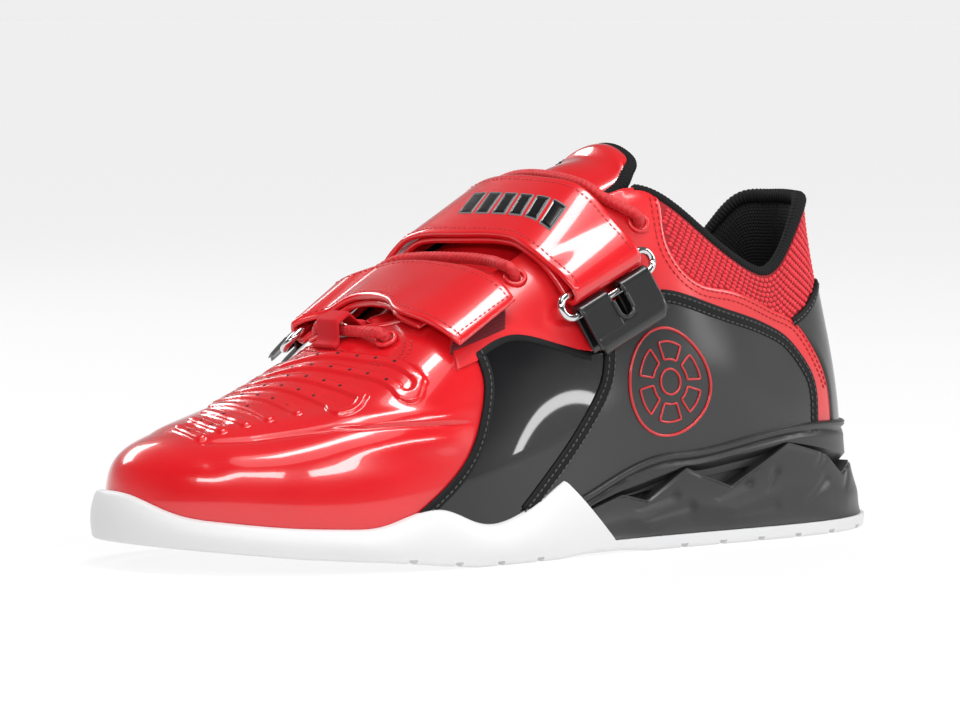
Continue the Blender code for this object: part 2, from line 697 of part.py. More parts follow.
def build_outsole(materials):
    around = around_samples()
    along = outline(around)[:, 0]
    ground = ground_height(along)
    height = np.maximum(rim_height(around), bed_height(along) + SOLE_EDGE)
    up = up_at_height(around, height)
    rings = [
        edge_ring(around, SOLE_EDGE, ground),
        edge_ring(around, 0.0, ground + SOLE_EDGE),
        edge_ring(around, -RIM_BULGE, ground + (height - ground) * 0.5),
        skin(around, up, CLEARANCE + RIM_THICKNESS),
    ]
    rings += wall_rings(around, height, 4)
    rings[0][:, 2] = ground_height(rings[0][:, 0])
    body = ring_solid("outsole", rings, materials["white_rubber"])
    cut(body, sole_prism("heel_space", 0.0, materials["white_rubber"]), "DIFFERENCE")
    cut(body, tread_cutter(materials["white_rubber"]), "DIFFERENCE")
    return body


def build_heel_wedge(materials):
    rows = mirrored(RIDGE)
    around = np.unique(np.round(np.concatenate([around_samples(), [row[0] for row in rows[:-1]]]), 6))
    low = PLATE_THICKNESS + CLEARANCE
    height = cup_height(around)
    ridge = linear(rows, around) * CUP_HEIGHT
    up = up_at_height(around, height)
    lip = skin(around, up, CLEARANCE + LIP_THICKNESS)
    foot = edge_ring(around, SOLE_EDGE / 3, low)
    normal = level(outward(around))

    def side(level_height, push):
        share = ((level_height - low) / (height - low))[:, None]
        waist = np.sin(math.pi * np.clip(share, 0, 1)) * WAIST_DEPTH
        return foot * (1 - share) + lip * share + normal * (push - waist)

    rings = [
        foot,
        side(low + (ridge - low) * 0.5, RIDGE_STEP * 0.6),
        side(ridge - RIDGE_EDGE, RIDGE_STEP),
        side(ridge + RIDGE_EDGE, 0.0),
        side(height - LIP_DEPTH, 0.0),
        side(height - LIP_DEPTH + RIDGE_EDGE, RIDGE_STEP / 2),
        lip,
    ]
    rings += wall_rings(around, height, 4)
    body = ring_solid("heel_wedge", rings, materials["black_rubber"])
    cut(body, sole_prism("heel_limit", CLEARANCE, materials["black_rubber"]), "INTERSECT")
    return body


def build_insole(materials):
    around = around_samples()
    inside = -(UPPER_WALL + INSOLE_FIT)
    rings = []
    for share in (0.0, 1.0):
        lift = CLEARANCE + INSOLE_THICKNESS * share
        foot = skin(around, 0.0, inside)
        up = up_at_height(around, bed_height(foot[:, 0]) + lift)
        ring = skin(around, up, inside)
        ring[:, 2] = bed_height(ring[:, 0]) + lift
        rings.append(ring)
    return ring_solid("insole", rings, materials["insole_foam"])


# Upper

def build_upper(materials):
    around = around_samples()
    up = np.linspace(0.0, 1.0, UP_STEPS)
    outer = skin_point(around[None, :], up[:, None])
    inner = outer - skin_normal(around[None, :], up[:, None]) * UPPER_WALL
    columns = len(around)
    count = outer.shape[0] * columns
    faces = strip_faces(len(up), columns, wrap=True) + strip_faces(len(up), columns, count, wrap=True)
    for row in (0, len(up) - 1):
        for column in range(columns):
            here = row * columns + column
            following = row * columns + (column + 1) % columns
            faces.append((here, following, following + count, here + count))
    vertices = np.concatenate([outer.reshape(-1, 3), inner.reshape(-1, 3)])
    return add_object("upper", vertices, faces, materials["red_leather"])


def resample(rows, count):
    rows = np.asarray(rows, float)
    steps = np.linalg.norm(np.diff(rows, axis=0), axis=1)
    distance = np.concatenate([[0.0], np.cumsum(steps)])
    at = np.linspace(0, distance[-1], count)
    return np.stack([np.interp(at, distance, rows[:, axis]) for axis in range(2)], axis=1)


def overlay_foot(around):
    """Up value just above the sole's edge, the highest within a short stretch."""
    shifts = np.linspace(-0.008, 0.008, 7)
    height = np.max([sole_edge(around + shift) for shift in shifts], axis=0)
    return up_at_height(around, height + OVERLAY_FOOT_GAP)


def build_overlay(name, front, rear, top, thickness, material, columns, rows):
    """Leather piece between a front seam, a rear seam, a top seam and the sole's edge."""
    foot_around = np.linspace(front[0][0], rear[0][0], columns)
    foot = np.stack([foot_around, overlay_foot(foot_around)], axis=1)
    front = resample([tuple(foot[0])] + [row for row in front[1:] if row[1] > foot[0][1]], rows)
    rear = resample([tuple(foot[-1])] + [row for row in rear[1:] if row[1] > foot[-1][1]], rows)
    top = resample(top, columns)
    t = np.linspace(0, 1, rows)[:, None, None]
    s = np.linspace(0, 1, columns)[None, :, None]
    grid = (foot[None] * (1 - t) + top[None] * t + front[:, None] * (1 - s) + rear[:, None] * s
            - foot[0] * (1 - s) * (1 - t) - foot[-1] * s * (1 - t) - top[0] * (1 - s) * t - top[-1] * s * t)
    inner = skin(grid[..., 0], grid[..., 1], np.full(grid.shape[:2], CLEARANCE))
    outer = skin(grid[..., 0], grid[..., 1], np.full(grid.shape[:2], CLEARANCE + thickness))
    return sheet_solid(name, outer, inner, material)


def to_medial(rows):
    return [(1.0 - around, up) for around, up in rows]


def build_overlays(materials):
    black = materials["black_leather"]
    saddle_rear = [(around + SEAM_GAP, up) for around, up in QUARTER_FRONT[:-1]]
    saddle_rear.append((QUARTER_FRONT[-1][0] + SEAM_GAP, SADDLE_TOP[-1][1]))
    saddle_top = SADDLE_TOP[:-1] + [saddle_rear[-1]]
    for side, turn in (("lateral", list), ("medial", to_medial)):
        build_overlay("saddle_" + side, turn(SADDLE_FRONT), turn(saddle_rear), turn(saddle_top),
                      SADDLE_THICKNESS, black, 9, 8)
        build_overlay("quarter_" + side, turn(QUARTER_FRONT), turn(QUARTER_REAR), turn(QUARTER_TOP),
                      QUARTER_THICKNESS, black, 13, 8)
    counter_rear = [(-around, up) for around, up in COUNTER_FRONT]
    build_overlay("heel_counter", COUNTER_FRONT, counter_rear, COUNTER_TOP, COUNTER_THICKNESS, black, 17, 7)


def build_binding(materials):
    """Rolled edge along the collar, from throat corner to throat corner round the heel."""
    around = np.arange(-COLLAR_STEPS, COLLAR_STEPS + 1) / AROUND_STEPS
    radius = BINDING_DIAMETER / 2
    top = skin(around, 1.0, np.full(around.shape, -UPPER_WALL / 2))
    below = skin(around, 0.99, np.full(around.shape, -UPPER_WALL / 2))
    travel = np.gradient(top, axis=0)
    travel = travel / np.linalg.norm(travel, axis=1, keepdims=True)
    rising = top - below
    rising = rising - travel * np.sum(rising * travel, axis=1, keepdims=True)
    rising = rising / np.linalg.norm(rising, axis=1, keepdims=True)
    path = top + rising * (radius + CLEARANCE)
    return tube_solid("collar_binding", path, rising, radius, materials["black_knit"], sides=6)


def tongue_tip(base):
    """Rows of the free end, each the last row narrowed towards its middle and moved up and back."""
    middle = base[len(base) // 2]
    rows = []
    for along, tall, wide in TONGUE_TIP:
        shift = np.array([along * LENGTH, 0.0, tall * COLLAR_HEIGHT])
        rows.append(middle + (base - middle) * wide / TONGUE[-1][1] + shift)
    return np.array(rows)


def build_tongue(materials):
    """Padded sheet under the throat: it dips below the wall at its edges and fills the gap between."""
    around = np.array([row[0] for row in TONGUE])
    half = np.array([row[1] for row in TONGUE]) * COLLAR_WIDTH
    share = np.linspace(-1, 1, 13)
    across = share[None, :] * half[:, None] - TONGUE_SHIFT * COLLAR_WIDTH
    under = UPPER_WALL + 2 * CLEARANCE
    edges = np.array([throat_edges(place) for place in around])
    middle = edges.mean(axis=1)[:, None]
    reach = (edges[:, 1] - edges[:, 0])[:, None] / 2 - TONGUE_EDGE
    fill = np.clip(1 - np.abs(across - middle) / reach, 0, 1)
    drop = under * (1 - 0.75 * fill * fill * (3 - 2 * fill))
    columns = around[:, None] * np.ones_like(across)
    outer = instep(columns, across, -drop)
    inner = instep(columns, across, -drop - TONGUE_THICKNESS)
    outer = np.concatenate([outer, tongue_tip(outer[-1])])
    inner = np.concatenate([inner, tongue_tip(inner[-1])])
    return sheet_solid("tongue", outer, inner, materials["red_leather"])


# Straps, rings and tabs

def strap_edges(rows):
    """Two functions of the distance across: the rear and the front edge of a strap on the instep."""
    table = np.array([row[1:] for row in rows], float)
    middle = (table[:, 1] + table[:, 3]) / 2 * BALL_WIDTH
    order = np.argsort(middle)

    def edge(around_column, across_column):
        places = table[order, around_column]
        offsets = table[order, across_column] * BALL_WIDTH - middle[order]

        def place(line):
            around = open_spline(middle[order], places, line[:, 0])
            shift = open_spline(middle[order], offsets, line[:, 0])
            beyond = line[:, 0] - np.clip(line[:, 0], middle[order][0], middle[order][-1])
            return instep(around, np.clip(line[:, 0], middle[order][0], middle[order][-1]) + shift + beyond,
                          line[:, 1])

        return place

    return edge(0, 1), edge(2, 3), middle[0], middle[-1]


def fold_radius():
    return RING_WIRE / 2 + FOLD_PLAY + STRAP_THICKNESS / 2


def strap_line(free_end, fold):
    """Free end, over the instep to the ring, round its bar and back underneath to the root."""
    toward = math.copysign(1.0, fold - free_end)
    radius = fold_radius()
    bar_lift = STRAP_LIFT + radius
    rest_lift = STRAP_LIFT + STRAP_THICKNESS + CLEARANCE
    upper_part = np.linspace(free_end, fold, 26)
    near = np.clip(1 - np.abs(upper_part - fold) / STRAP_RAMP, 0, 1)
    rise = near * near * (3 - 2 * near)
    lifts = rest_lift + (bar_lift + radius - rest_lift) * rise
    line = [(place, lift) for place, lift in zip(upper_part, lifts)]
    for turn in np.linspace(0, math.pi, 8)[1:-1]:
        line.append((fold + toward * math.sin(turn) * radius, bar_lift + math.cos(turn) * radius))
    under_part = np.linspace(fold, fold + (free_end - fold) * STRAP_ROOT, 20)
    sewn = np.clip(1 - np.abs(under_part - under_part[-1]) / STRAP_RAMP, 0, 1)
    seat = 2 * CLEARANCE + STRAP_THICKNESS / 2
    lifts = STRAP_LIFT + (seat - STRAP_LIFT) * sewn * sewn * (3 - 2 * sewn)
    line += [(place, lift) for place, lift in zip(under_part, lifts)]
    return np.array(line)


def tab_lift():
    """Height of the middle of a tab's fold, with its under layer on the overlays."""
    return QUARTER_THICKNESS + 3 * CLEARANCE + TAB_THICKNESS + RING_WIRE / 2


def ring_frame(rear, front, fold, toward):
    """Middle of the ring's inner bar, and the ring's own directions: along, away from the strap, out."""
    here = np.array([[fold, STRAP_LIFT + fold_radius()]])
    beyond = np.array([[fold + toward * RING_WIDTH, tab_lift()]])
    start, end = rear(here)[0], front(here)[0]
    along = (end - start) / np.linalg.norm(end - start)
    middle = (start + end) / 2
    away = (rear(beyond)[0] + front(beyond)[0]) / 2 - middle
    away = away - along * (away @ along)
    away = away / np.linalg.norm(away)
    out = np.cross(along, away)
    if out @ (middle - np.array([middle[0], 0.0, HEEL_BED])) < 0:
        out = -out
    return middle, along, away, out, np.linalg.norm(end - start)


def square_to_bar(edge, fold, toward, away):
    """The same edge, which past the fold runs straight away from the ring's inner bar."""
    def place(line):
        past = np.maximum((line[:, 0] - fold) * toward, 0.0)
        held = np.stack([np.where(past > 0, fold, line[:, 0]), line[:, 1]], axis=1)
        return edge(held) + away * past[:, None]

    return place


def build_strap(name, rows, materials):
    rear, front, first, last = strap_edges(rows)
    toward = math.copysign(1.0, last - first)
    middle, along, away, out, wide = ring_frame(rear, front, last, toward)
    folded_band(name, strap_line(first, last), square_to_bar(rear, last, toward, away),
                square_to_bar(front, last, toward, away), STRAP_THICKNESS, materials["red_tape"])
    bar_gap = RING_WIDTH - RING_WIRE
    half = wide / 2 + RING_PLAY + bar_gap / 2
    centre = middle + away * bar_gap / 2
    path = []
    for end in (1, -1):
        for turn in np.linspace(-math.pi / 2, math.pi / 2, 9):
            reach = (half - bar_gap / 2 + math.cos(turn) * bar_gap / 2) * end
            path.append(centre + along * reach + away * math.sin(turn) * bar_gap / 2 * end)
    normals = np.tile(out, (len(path), 1))
    tube_solid(name.replace("strap", "ring"), path, normals, RING_WIRE / 2, materials["chrome"], closed=True)
    bar = middle + away * bar_gap
    anchor = np.array([[last + toward * (RING_WIDTH + TAB_LENGTH), tab_lift()]])
    down = (rear(anchor)[0] + front(anchor)[0]) / 2 - bar
    down = down - along * (down @ along)
    down = down / np.linalg.norm(down)
    facing = np.cross(along, down) * math.copysign(1.0, np.cross(along, down) @ out)
    build_tabs(name.replace("strap", "tab"), bar, along, down, facing, wide, materials)


def build_tabs(name, bar, along, away, out, wide, materials):
    """Two leather lobes that hold the ring's outer bar, with a notch between them."""
    radius = RING_WIRE / 2 + CLEARANCE + TAB_THICKNESS / 2
    line = [(TAB_LENGTH, radius)]
    line += [(TAB_LENGTH * share, radius) for share in (0.6, 0.25)]
    line += [(-math.sin(turn) * radius, math.cos(turn) * radius) for turn in np.linspace(0, math.pi, 8)]
    line += [(TAB_LENGTH * share, -radius) for share in (0.25, 0.6, 1.0)]
    line = np.array(line)

    def edge(place):
        def points(flat):
            return bar + along * place + away * flat[:, :1] + out * flat[:, 1:]
        return points

    for suffix, inner, outer in (("_front", TAB_NOTCH / 2, wide / 2), ("_rear", -wide / 2, -TAB_NOTCH / 2)):
        folded_band(name + suffix, line, edge(inner), edge(outer), TAB_THICKNESS, materials["black_leather"])


# Laces

def smooth_path(rows, count):
    rows = np.asarray(rows, float)
    steps = np.concatenate([[0.0], np.cumsum(np.linalg.norm(np.diff(rows, axis=0), axis=1))])
    return open_spline(steps / steps[-1], rows, np.linspace(0, 1, count))


def lace_path(points, normals, lift):
    """Crossing over the surface, with each end turned down into its eyelet.

    Gives the path and the level direction across it, which no turn of the path comes near.
    """
    far = np.minimum(np.linalg.norm(points - points[0], axis=1), np.linalg.norm(points - points[-1], axis=1))
    near = np.clip(1 - far / LACE_RAMP, 0, 1)
    rest = CLEARANCE + LACE_DIAMETER / 2
    lifted = points + normals * (rest + (lift - rest) * near * near * (3 - 2 * near))[:, None]
    seat = 2 * CLEARANCE
    turn = EYELET_DIAMETER / 2 - EYELET_WIRE / 2
    path, sides = [], []
    for end in (0, -1):
        inner = 1 if end == 0 else -2
        normal = normals[end]
        toward = points[inner] - points[end]
        toward = toward - normal * (toward @ normal)
        toward = toward / np.linalg.norm(toward)
        base = points[end] + normal * seat
        rise = lift - seat - turn
        bend = [base]
        for angle in np.linspace(0, math.pi / 2, 5):
            bend.append(base + normal * (rise + math.sin(angle) * turn) + toward * (1 - math.cos(angle)) * turn)
        side = np.cross(toward, normal) * (1 if end == 0 else -1)
        path.append(bend if end == 0 else bend[::-1])
        sides.append([side] * len(bend))
    keep = far > LACE_BEND
    travel = np.gradient(lifted, axis=0)
    middle_sides = np.cross(travel, normals)
    middle_sides = middle_sides / np.linalg.norm(middle_sides, axis=1, keepdims=True)
    joined = path[0] + list(lifted[keep]) + path[1]
    joined_sides = sides[0] + list(middle_sides[keep]) + sides[1]
    return np.array(joined), np.array(joined_sides)


def build_eyelet(name, middle, normal, materials):
    helper = np.array([1.0, 0.0, 0.0])
    along = np.cross(normal, helper)
    along = along / np.linalg.norm(along)
    across = np.cross(normal, along)
    radius = (EYELET_DIAMETER - EYELET_WIRE) / 2
    turns = np.arange(EYELET_STEPS) * 2 * math.pi / EYELET_STEPS
    path = [middle + along * math.cos(turn) * radius + across * math.sin(turn) * radius for turn in turns]
    tube_solid(name, path, np.tile(normal, (len(path), 1)), EYELET_WIRE / 2, materials["red_leather"],
               sides=6, closed=True)


def build_lace(name, points, normals, materials):
    radius = LACE_DIAMETER / 2
    path, sides = lace_path(points, normals, EYELET_WIRE + 2 * CLEARANCE + radius)
    tube_solid("lace_" + name, path, sides, radius, materials["red_cord"])
    seat = CLEARANCE + EYELET_WIRE / 2
    for side, end in (("lateral", 0), ("medial", -1)):
        build_eyelet("eyelet_" + name + "_" + side, points[end] + normals[end] * seat, normals[end], materials)


def build_laces(materials):
    for name, rows in (("middle", MIDDLE_LACE), ("top", TOP_LACE)):
        table = smooth_path([(around, across * BALL_WIDTH) for around, across in rows], 17)
        points = instep(table[:, 0], table[:, 1])
        normals = (instep(table[:, 0], table[:, 1], MM) - points) / MM
        build_lace(name, points, normals, materials)
    table = smooth_path(FRONT_LACE, 17)
    build_lace("front", skin_point(table[:, 0], table[:, 1]), skin_normal(table[:, 0], table[:, 1]), materials)


def build_keeper(materials):
    """Leather loop on the vamp that arches over the front lace."""
    over = EYELET_WIRE + 4 * CLEARANCE + LACE_DIAMETER
    inner_lifts = np.array([CLEARANCE, CLEARANCE, over, over, CLEARANCE, CLEARANCE])
    around = np.linspace(KEEPER_SPAN[0], KEEPER_SPAN[1], 5)
    up = np.array(KEEPER_UP)
    grid_around, grid_up = np.meshgrid(around, up)
    lifts = np.repeat(inner_lifts[:, None], len(around), axis=1)
    inner = skin(grid_around, grid_up, lifts)
    outer = skin(grid_around, grid_up, lifts + KEEPER_THICKNESS)
    return sheet_solid("lace_keeper", outer, inner, materials["red_leather"])


def centre_on_floor():
    """Puts the shoe's box centre over the origin, with the sole on the floor."""
    low = np.full(3, np.inf)
    high = np.full(3, -np.inf)
    things = [thing for thing in bpy.context.scene.objects if thing.type == "MESH"]
    for thing in things:
        points = np.array([vertex.co[:] for vertex in thing.data.vertices])
        low = np.minimum(low, points.min(axis=0))
        high = np.maximum(high, points.max(axis=0))
    shoe = bpy.data.objects.new("shoe", None)
    bpy.context.scene.collection.objects.link(shoe)
    shoe.location = (-(low[0] + high[0]) / 2, -(low[1] + high[1]) / 2, -low[2])
    for thing in things:
        thing.parent = shoe
    bpy.context.view_layer.update()


def build_shoe():
    clear_scene()
    materials = make_materials()
    build_outsole(materials)
    build_heel_wedge(materials)
    build_insole(materials)
    build_upper(materials)
    build_overlays(materials)
    build_binding(materials)
    build_tongue(materials)
    build_strap("lower_strap", LOWER_STRAP, materials)
    build_strap("upper_strap", UPPER_STRAP, materials)
    build_laces(materials)
    build_keeper(materials)
    centre_on_floor()


build_shoe()
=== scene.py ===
import math

import bmesh
import bpy
import numpy as np
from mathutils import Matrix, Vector


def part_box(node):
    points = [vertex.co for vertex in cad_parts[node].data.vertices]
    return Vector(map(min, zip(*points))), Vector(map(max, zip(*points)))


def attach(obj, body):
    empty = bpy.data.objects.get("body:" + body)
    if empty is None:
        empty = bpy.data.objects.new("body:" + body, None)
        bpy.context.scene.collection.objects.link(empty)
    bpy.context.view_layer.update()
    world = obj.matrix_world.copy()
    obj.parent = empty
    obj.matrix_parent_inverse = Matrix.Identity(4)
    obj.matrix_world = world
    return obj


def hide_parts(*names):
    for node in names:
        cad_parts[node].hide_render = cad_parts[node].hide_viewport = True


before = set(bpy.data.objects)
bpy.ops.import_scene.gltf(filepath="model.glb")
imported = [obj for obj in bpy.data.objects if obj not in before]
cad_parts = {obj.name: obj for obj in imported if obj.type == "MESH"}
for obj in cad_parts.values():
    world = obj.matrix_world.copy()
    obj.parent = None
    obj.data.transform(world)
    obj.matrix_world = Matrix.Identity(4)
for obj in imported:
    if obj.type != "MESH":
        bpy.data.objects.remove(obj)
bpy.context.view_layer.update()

# Looks of the weightlifting shoe: every panel is laid on the last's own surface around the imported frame.
# Lengths are metres. Places on the last are pairs (around, up): around runs from the heel's middle over
# the lateral side to the toe at 0.5 and back over the medial side, up runs from the bed to the top line.
MM = 0.001

# Driving sizes of the shoe, the same as in the part's source
LENGTH = 292 * MM
BALL_WIDTH = 108 * MM
COLLAR_HEIGHT = 115.5 * MM
COLLAR_WIDTH = 62 * MM
HEEL_BED = 26.5 * MM
TOE_SPRING = 9 * MM
RIM_HEIGHT = 25 * MM
CUP_HEIGHT = 38 * MM
PLATE_THICKNESS = 4.5 * MM
HEEL_FACE_FOOT = 133 * MM
HEEL_FACE_RUN = 20 * MM
UPPER_WALL = 2.2 * MM
RIM_THICKNESS = 2.4 * MM
LIP_THICKNESS = 1.9 * MM
INSOLE_THICKNESS = 4 * MM
TONGUE_THICKNESS = 4 * MM
STRAP_THICKNESS = 2.2 * MM
STRAP_LIFT = 3.3 * MM
STRAP_RAMP = 17 * MM
STRAP_ROOT = 0.78
RING_WIRE = 2.6 * MM
RING_WIDTH = 10 * MM
RING_PLAY = 1.6 * MM
FOLD_PLAY = 0.7 * MM
TAB_THICKNESS = 1.4 * MM
TAB_LENGTH = 13 * MM
LACE_DIAMETER = 3.8 * MM
EYELET_DIAMETER = 8 * MM
EYELET_WIRE = 1.6 * MM
CLEARANCE = 0.3 * MM
RIM_BULGE = 1 * MM
SOLE_EDGE = 2 * MM
TREAD_WIDTH = 3 * MM
TREAD_DEPTH = 1.5 * MM
TREAD_PITCH = 17 * MM
QUARTER_THICKNESS = 1.6 * MM

# Sole outline. Columns: along the length, lateral and medial half width of the ball width
OUTLINE = [
    (0.000, 0.000, 0.000), (0.008, 0.125, 0.120), (0.030, 0.222, 0.212), (0.075, 0.312, 0.300),
    (0.165, 0.380, 0.355), (0.225, 0.395, 0.352), (0.290, 0.405, 0.350), (0.360, 0.415, 0.352),
    (0.430, 0.430, 0.365), (0.550, 0.470, 0.412), (0.650, 0.500, 0.470), (0.750, 0.490, 0.500),
    (0.855, 0.395, 0.458), (0.930, 0.250, 0.388), (0.975, 0.100, 0.285), (1.000, -0.115, 0.115),
]

# Top line. Columns: along, lateral and medial side of the collar width, their heights of the collar height
TOP_LINE = [
    (0.084, 0.00, 0.00, 0.972, 0.972), (0.088, 0.14, 0.14, 0.970, 0.970), (0.103, 0.26, 0.26, 0.962, 0.962),
    (0.130, 0.35, 0.36, 0.886, 0.886), (0.185, 0.44, 0.46, 0.766, 0.766), (0.232, 0.49, 0.50, 0.796, 0.796),
    (0.288, 0.49, 0.51, 0.888, 0.888), (0.352, 0.43, 0.49, 1.003, 1.008), (0.407, 0.32, 0.47, 1.010, 1.015),
    (0.483, 0.28, 0.46, 0.890, 0.915), (0.555, 0.27, 0.45, 0.785, 0.820), (0.620, 0.22, 0.38, 0.708, 0.713),
    (0.661, 0.12, 0.30, 0.664, 0.656), (0.673, 0.04, 0.21, 0.658, 0.660), (0.677, -0.02, 0.15, 0.655, 0.655),
    (0.678, -0.08, 0.08, 0.654, 0.654),
]

# Side wall. Columns: inset of the ball width, rise, lean in degrees, reach, lateral and medial fall
# in degrees, sag; rise, reach and sag of the collar height
SIDE_WALL = [
    (0.090, 0.27, -3, 0.22, 86, 86, 0.0), (0.090, 0.27, -2, 0.22, 86, 86, 0.0),
    (0.088, 0.27, 0, 0.22, 86, 86, 0.0), (0.084, 0.27, 3, 0.22, 84, 84, 0.0),
    (0.076, 0.23, 6, 0.19, 80, 80, 0.0), (0.070, 0.23, 6, 0.21, 78, 78, 0.0),
    (0.067, 0.26, 6, 0.24, 74, 76, 0.0), (0.065, 0.29, 6, 0.27, 66, 70, 0.0),
    (0.065, 0.31, 6, 0.28, 52, 62, 0.0), (0.056, 0.31, 6, 0.28, 36, 54, 0.0),
    (0.051, 0.29, 6, 0.30, 26, 44, 0.01), (0.048, 0.29, 6, 0.34, 22, 36, 0.05),
    (0.042, 0.38, 5, 0.36, 28, 34, 0.15), (0.040, 0.41, 5, 0.40, 28, 29, 0.23),
    (0.039, 0.42, 3, 0.42, 27, 27, 0.24), (0.039, 0.42, 2, 0.42, 27, 27, 0.24),
]

BED = [(0.0, 1.0), (0.15, 0.99), (0.30, 0.85), (0.43, 0.66), (0.55, 0.49),
       (0.65, 0.41), (0.75, 0.39), (0.855, 0.42), (0.93, 0.51), (1.0, 0.64)]
GROUND = [(0.0, 0.0), (0.40, 0.0), (0.44, 0.11), (0.50, 0.11), (0.54, 0.0),
          (0.66, 0.0), (0.77, 0.36), (0.86, 0.56), (1.0, 1.0)]
WHITE_RIM = [(0.0, 1.0), (0.20, 1.0), (0.258, 1.0), (0.271, 0.81), (0.289, 0.60), (0.304, 0.53),
             (0.315, 0.58), (0.331, 0.74), (0.340, 0.77), (0.353, 0.70), (0.367, 0.585),
             (0.387, 0.565), (0.407, 0.585), (0.440, 0.66), (0.463, 0.75), (0.475, 0.86),
             (0.487, 0.96), (0.50, 0.99), (0.52, 0.97), (0.55, 0.86), (0.58, 0.68), (0.61, 0.57),
             (0.66, 0.53), (0.70, 0.56), (0.725, 0.75), (0.742, 1.0), (0.80, 1.0), (1.0, 1.0)]
CUP_TOP = [(0.0, 0.97), (0.05, 0.98), (0.09, 1.0), (0.134, 0.93), (0.172, 0.84),
           (0.191, 0.825), (0.223, 0.66), (0.25, 0.48), (0.29, 0.42), (0.50, 0.42)]
RIDGE = [(0.0, 0.50), (0.040, 0.60), (0.062, 0.52), (0.076, 0.70), (0.108, 0.84), (0.148, 0.50),
         (0.167, 0.62), (0.177, 0.69), (0.203, 0.43), (0.218, 0.50), (0.25, 0.34), (0.50, 0.34)]

# Seams of the overlays, as (around, up)
SADDLE_FRONT = [(0.356, 0.035), (0.336, 0.14), (0.318, 0.268), (0.311, 0.42), (0.311, 0.52), (0.317, 0.628)]
SADDLE_TOP = [(0.317, 0.628), (0.295, 0.640), (0.266, 0.550), (0.236, 0.455)]
QUARTER_FRONT = [(0.284, 0.052), (0.268, 0.135), (0.249, 0.235), (0.238, 0.305), (0.230, 0.378),
                 (0.228, 0.517)]
QUARTER_TOP = [(0.228, 0.517), (0.212, 0.640), (0.189, 0.650), (0.166, 0.680), (0.140, 0.720),
               (0.118, 0.717), (0.101, 0.643)]
QUARTER_REAR = [(0.080, 0.10), (0.080, 0.155), (0.080, 0.323), (0.087, 0.467), (0.101, 0.643)]
COUNTER_FRONT = [(0.060, 0.10), (0.062, 0.137), (0.063, 0.283), (0.074, 0.50), (0.088, 0.70)]
COUNTER_TOP = [(0.088, 0.70), (0.068, 0.672), (0.044, 0.66), (0.02, 0.655), (0.0, 0.655),
               (-0.02, 0.655), (-0.044, 0.66), (-0.068, 0.672), (-0.088, 0.70)]
BAND_UPPER = [(0.062, 0.10), (0.063, 0.283), (0.074, 0.50), (0.088, 0.70), (0.105, 0.800), (0.123, 0.840),
              (0.145, 0.815), (0.162, 0.760), (0.175, 0.770), (0.182, 0.830), (0.183, 0.920), (0.183, 0.995),
              (0.21, 0.995), (0.25, 0.995), (0.30, 0.995), (0.345, 0.995)]
BAND_LOWER = [(0.084, 0.10), (0.084, 0.323), (0.091, 0.467), (0.105, 0.620), (0.120, 0.680), (0.140, 0.690),
              (0.155, 0.665), (0.170, 0.640), (0.185, 0.615), (0.200, 0.580), (0.215, 0.520), (0.228, 0.490),
              (0.245, 0.460), (0.275, 0.560), (0.305, 0.600), (0.330, 0.600)]

# Straps. Columns: rear edge and front edge, each as around and as distance across of the ball width
LOWER_STRAP = [
    (0.294, 0.407, 0.331, 0.481), (0.300, 0.343, 0.343, 0.398), (0.315, 0.231, 0.366, 0.259),
    (0.334, 0.065, 0.405, 0.074), (0.341, -0.074, 0.430, -0.074), (0.343, -0.222, 0.415, -0.222),
    (0.340, -0.360, 0.398, -0.350),
]
UPPER_STRAP = [
    (0.240, -0.574, 0.300, -0.574), (0.246, -0.370, 0.310, -0.370), (0.250, -0.204, 0.316, -0.204),
    (0.247, -0.056, 0.312, -0.056), (0.240, 0.074, 0.300, 0.074), (0.225, 0.222, 0.283, 0.231),
    (0.215, 0.352, 0.266, 0.370), (0.208, 0.455, 0.256, 0.472),
]

TONGUE = [(0.46, 0.32), (0.43, 0.38), (0.40, 0.42), (0.37, 0.45), (0.34, 0.47), (0.31, 0.48),
          (0.28, 0.48), (0.25, 0.46), (0.22, 0.42), (0.20, 0.38)]
TONGUE_TIP = [(-0.014, 0.032, 0.34), (-0.032, 0.045, 0.26)]
TONGUE_SHIFT = 0.06
TONGUE_EDGE = 1.5 * MM

# Laces and their keeper
MIDDLE_LACE = [(0.291, 0.29), (0.301, 0.22), (0.316, 0.07), (0.326, -0.06), (0.329, -0.20), (0.325, -0.34)]
TOP_LACE = [(0.198, 0.36), (0.213, 0.26), (0.230, 0.10), (0.237, -0.10), (0.235, -0.27), (0.222, -0.40)]
FRONT_LACE = [(0.393, 0.885), (0.43, 0.925), (0.47, 0.94), (0.50, 0.94), (0.53, 0.94), (0.555, 0.915)]
LACE_BEND = 5.8 * MM
LACE_RAMP = 16 * MM
LACE_TUCK = 1.5 * MM
KEEPER_SPAN = (0.464, 0.526)
KEEPER_UP = (0.885, 0.905, 0.922, 0.958, 0.975, 0.992)
KEEPER_THICKNESS = 1.4 * MM

# Raised fingers across the vamp. Columns: along the length, slant, reach to the side of the ball width
FINGERS = [
    (0.742, 0.42, 0.37), (0.763, 0.40, 0.35), (0.782, 0.32, 0.30), (0.801, 0.24, 0.25), (0.822, 0.15, 0.195),
    (0.843, 0.05, 0.155), (0.866, -0.02, 0.125), (0.889, -0.05, 0.10), (0.911, -0.05, 0.075),
]
JOINED_FINGERS = ((0, 1), (2, 3))
FINGER_WIDTH = 3.3 * MM
FINGER_RISE = 1.0 * MM
VAMP_MIDDLE = -2 * MM

# The crease along the toe. Columns: along the length, height of the collar height
CREASE = [(0.60, 0.392), (0.735, 0.396), (0.80, 0.389), (0.875, 0.358), (0.918, 0.350), (0.95, 0.348)]


# Curves through table rows

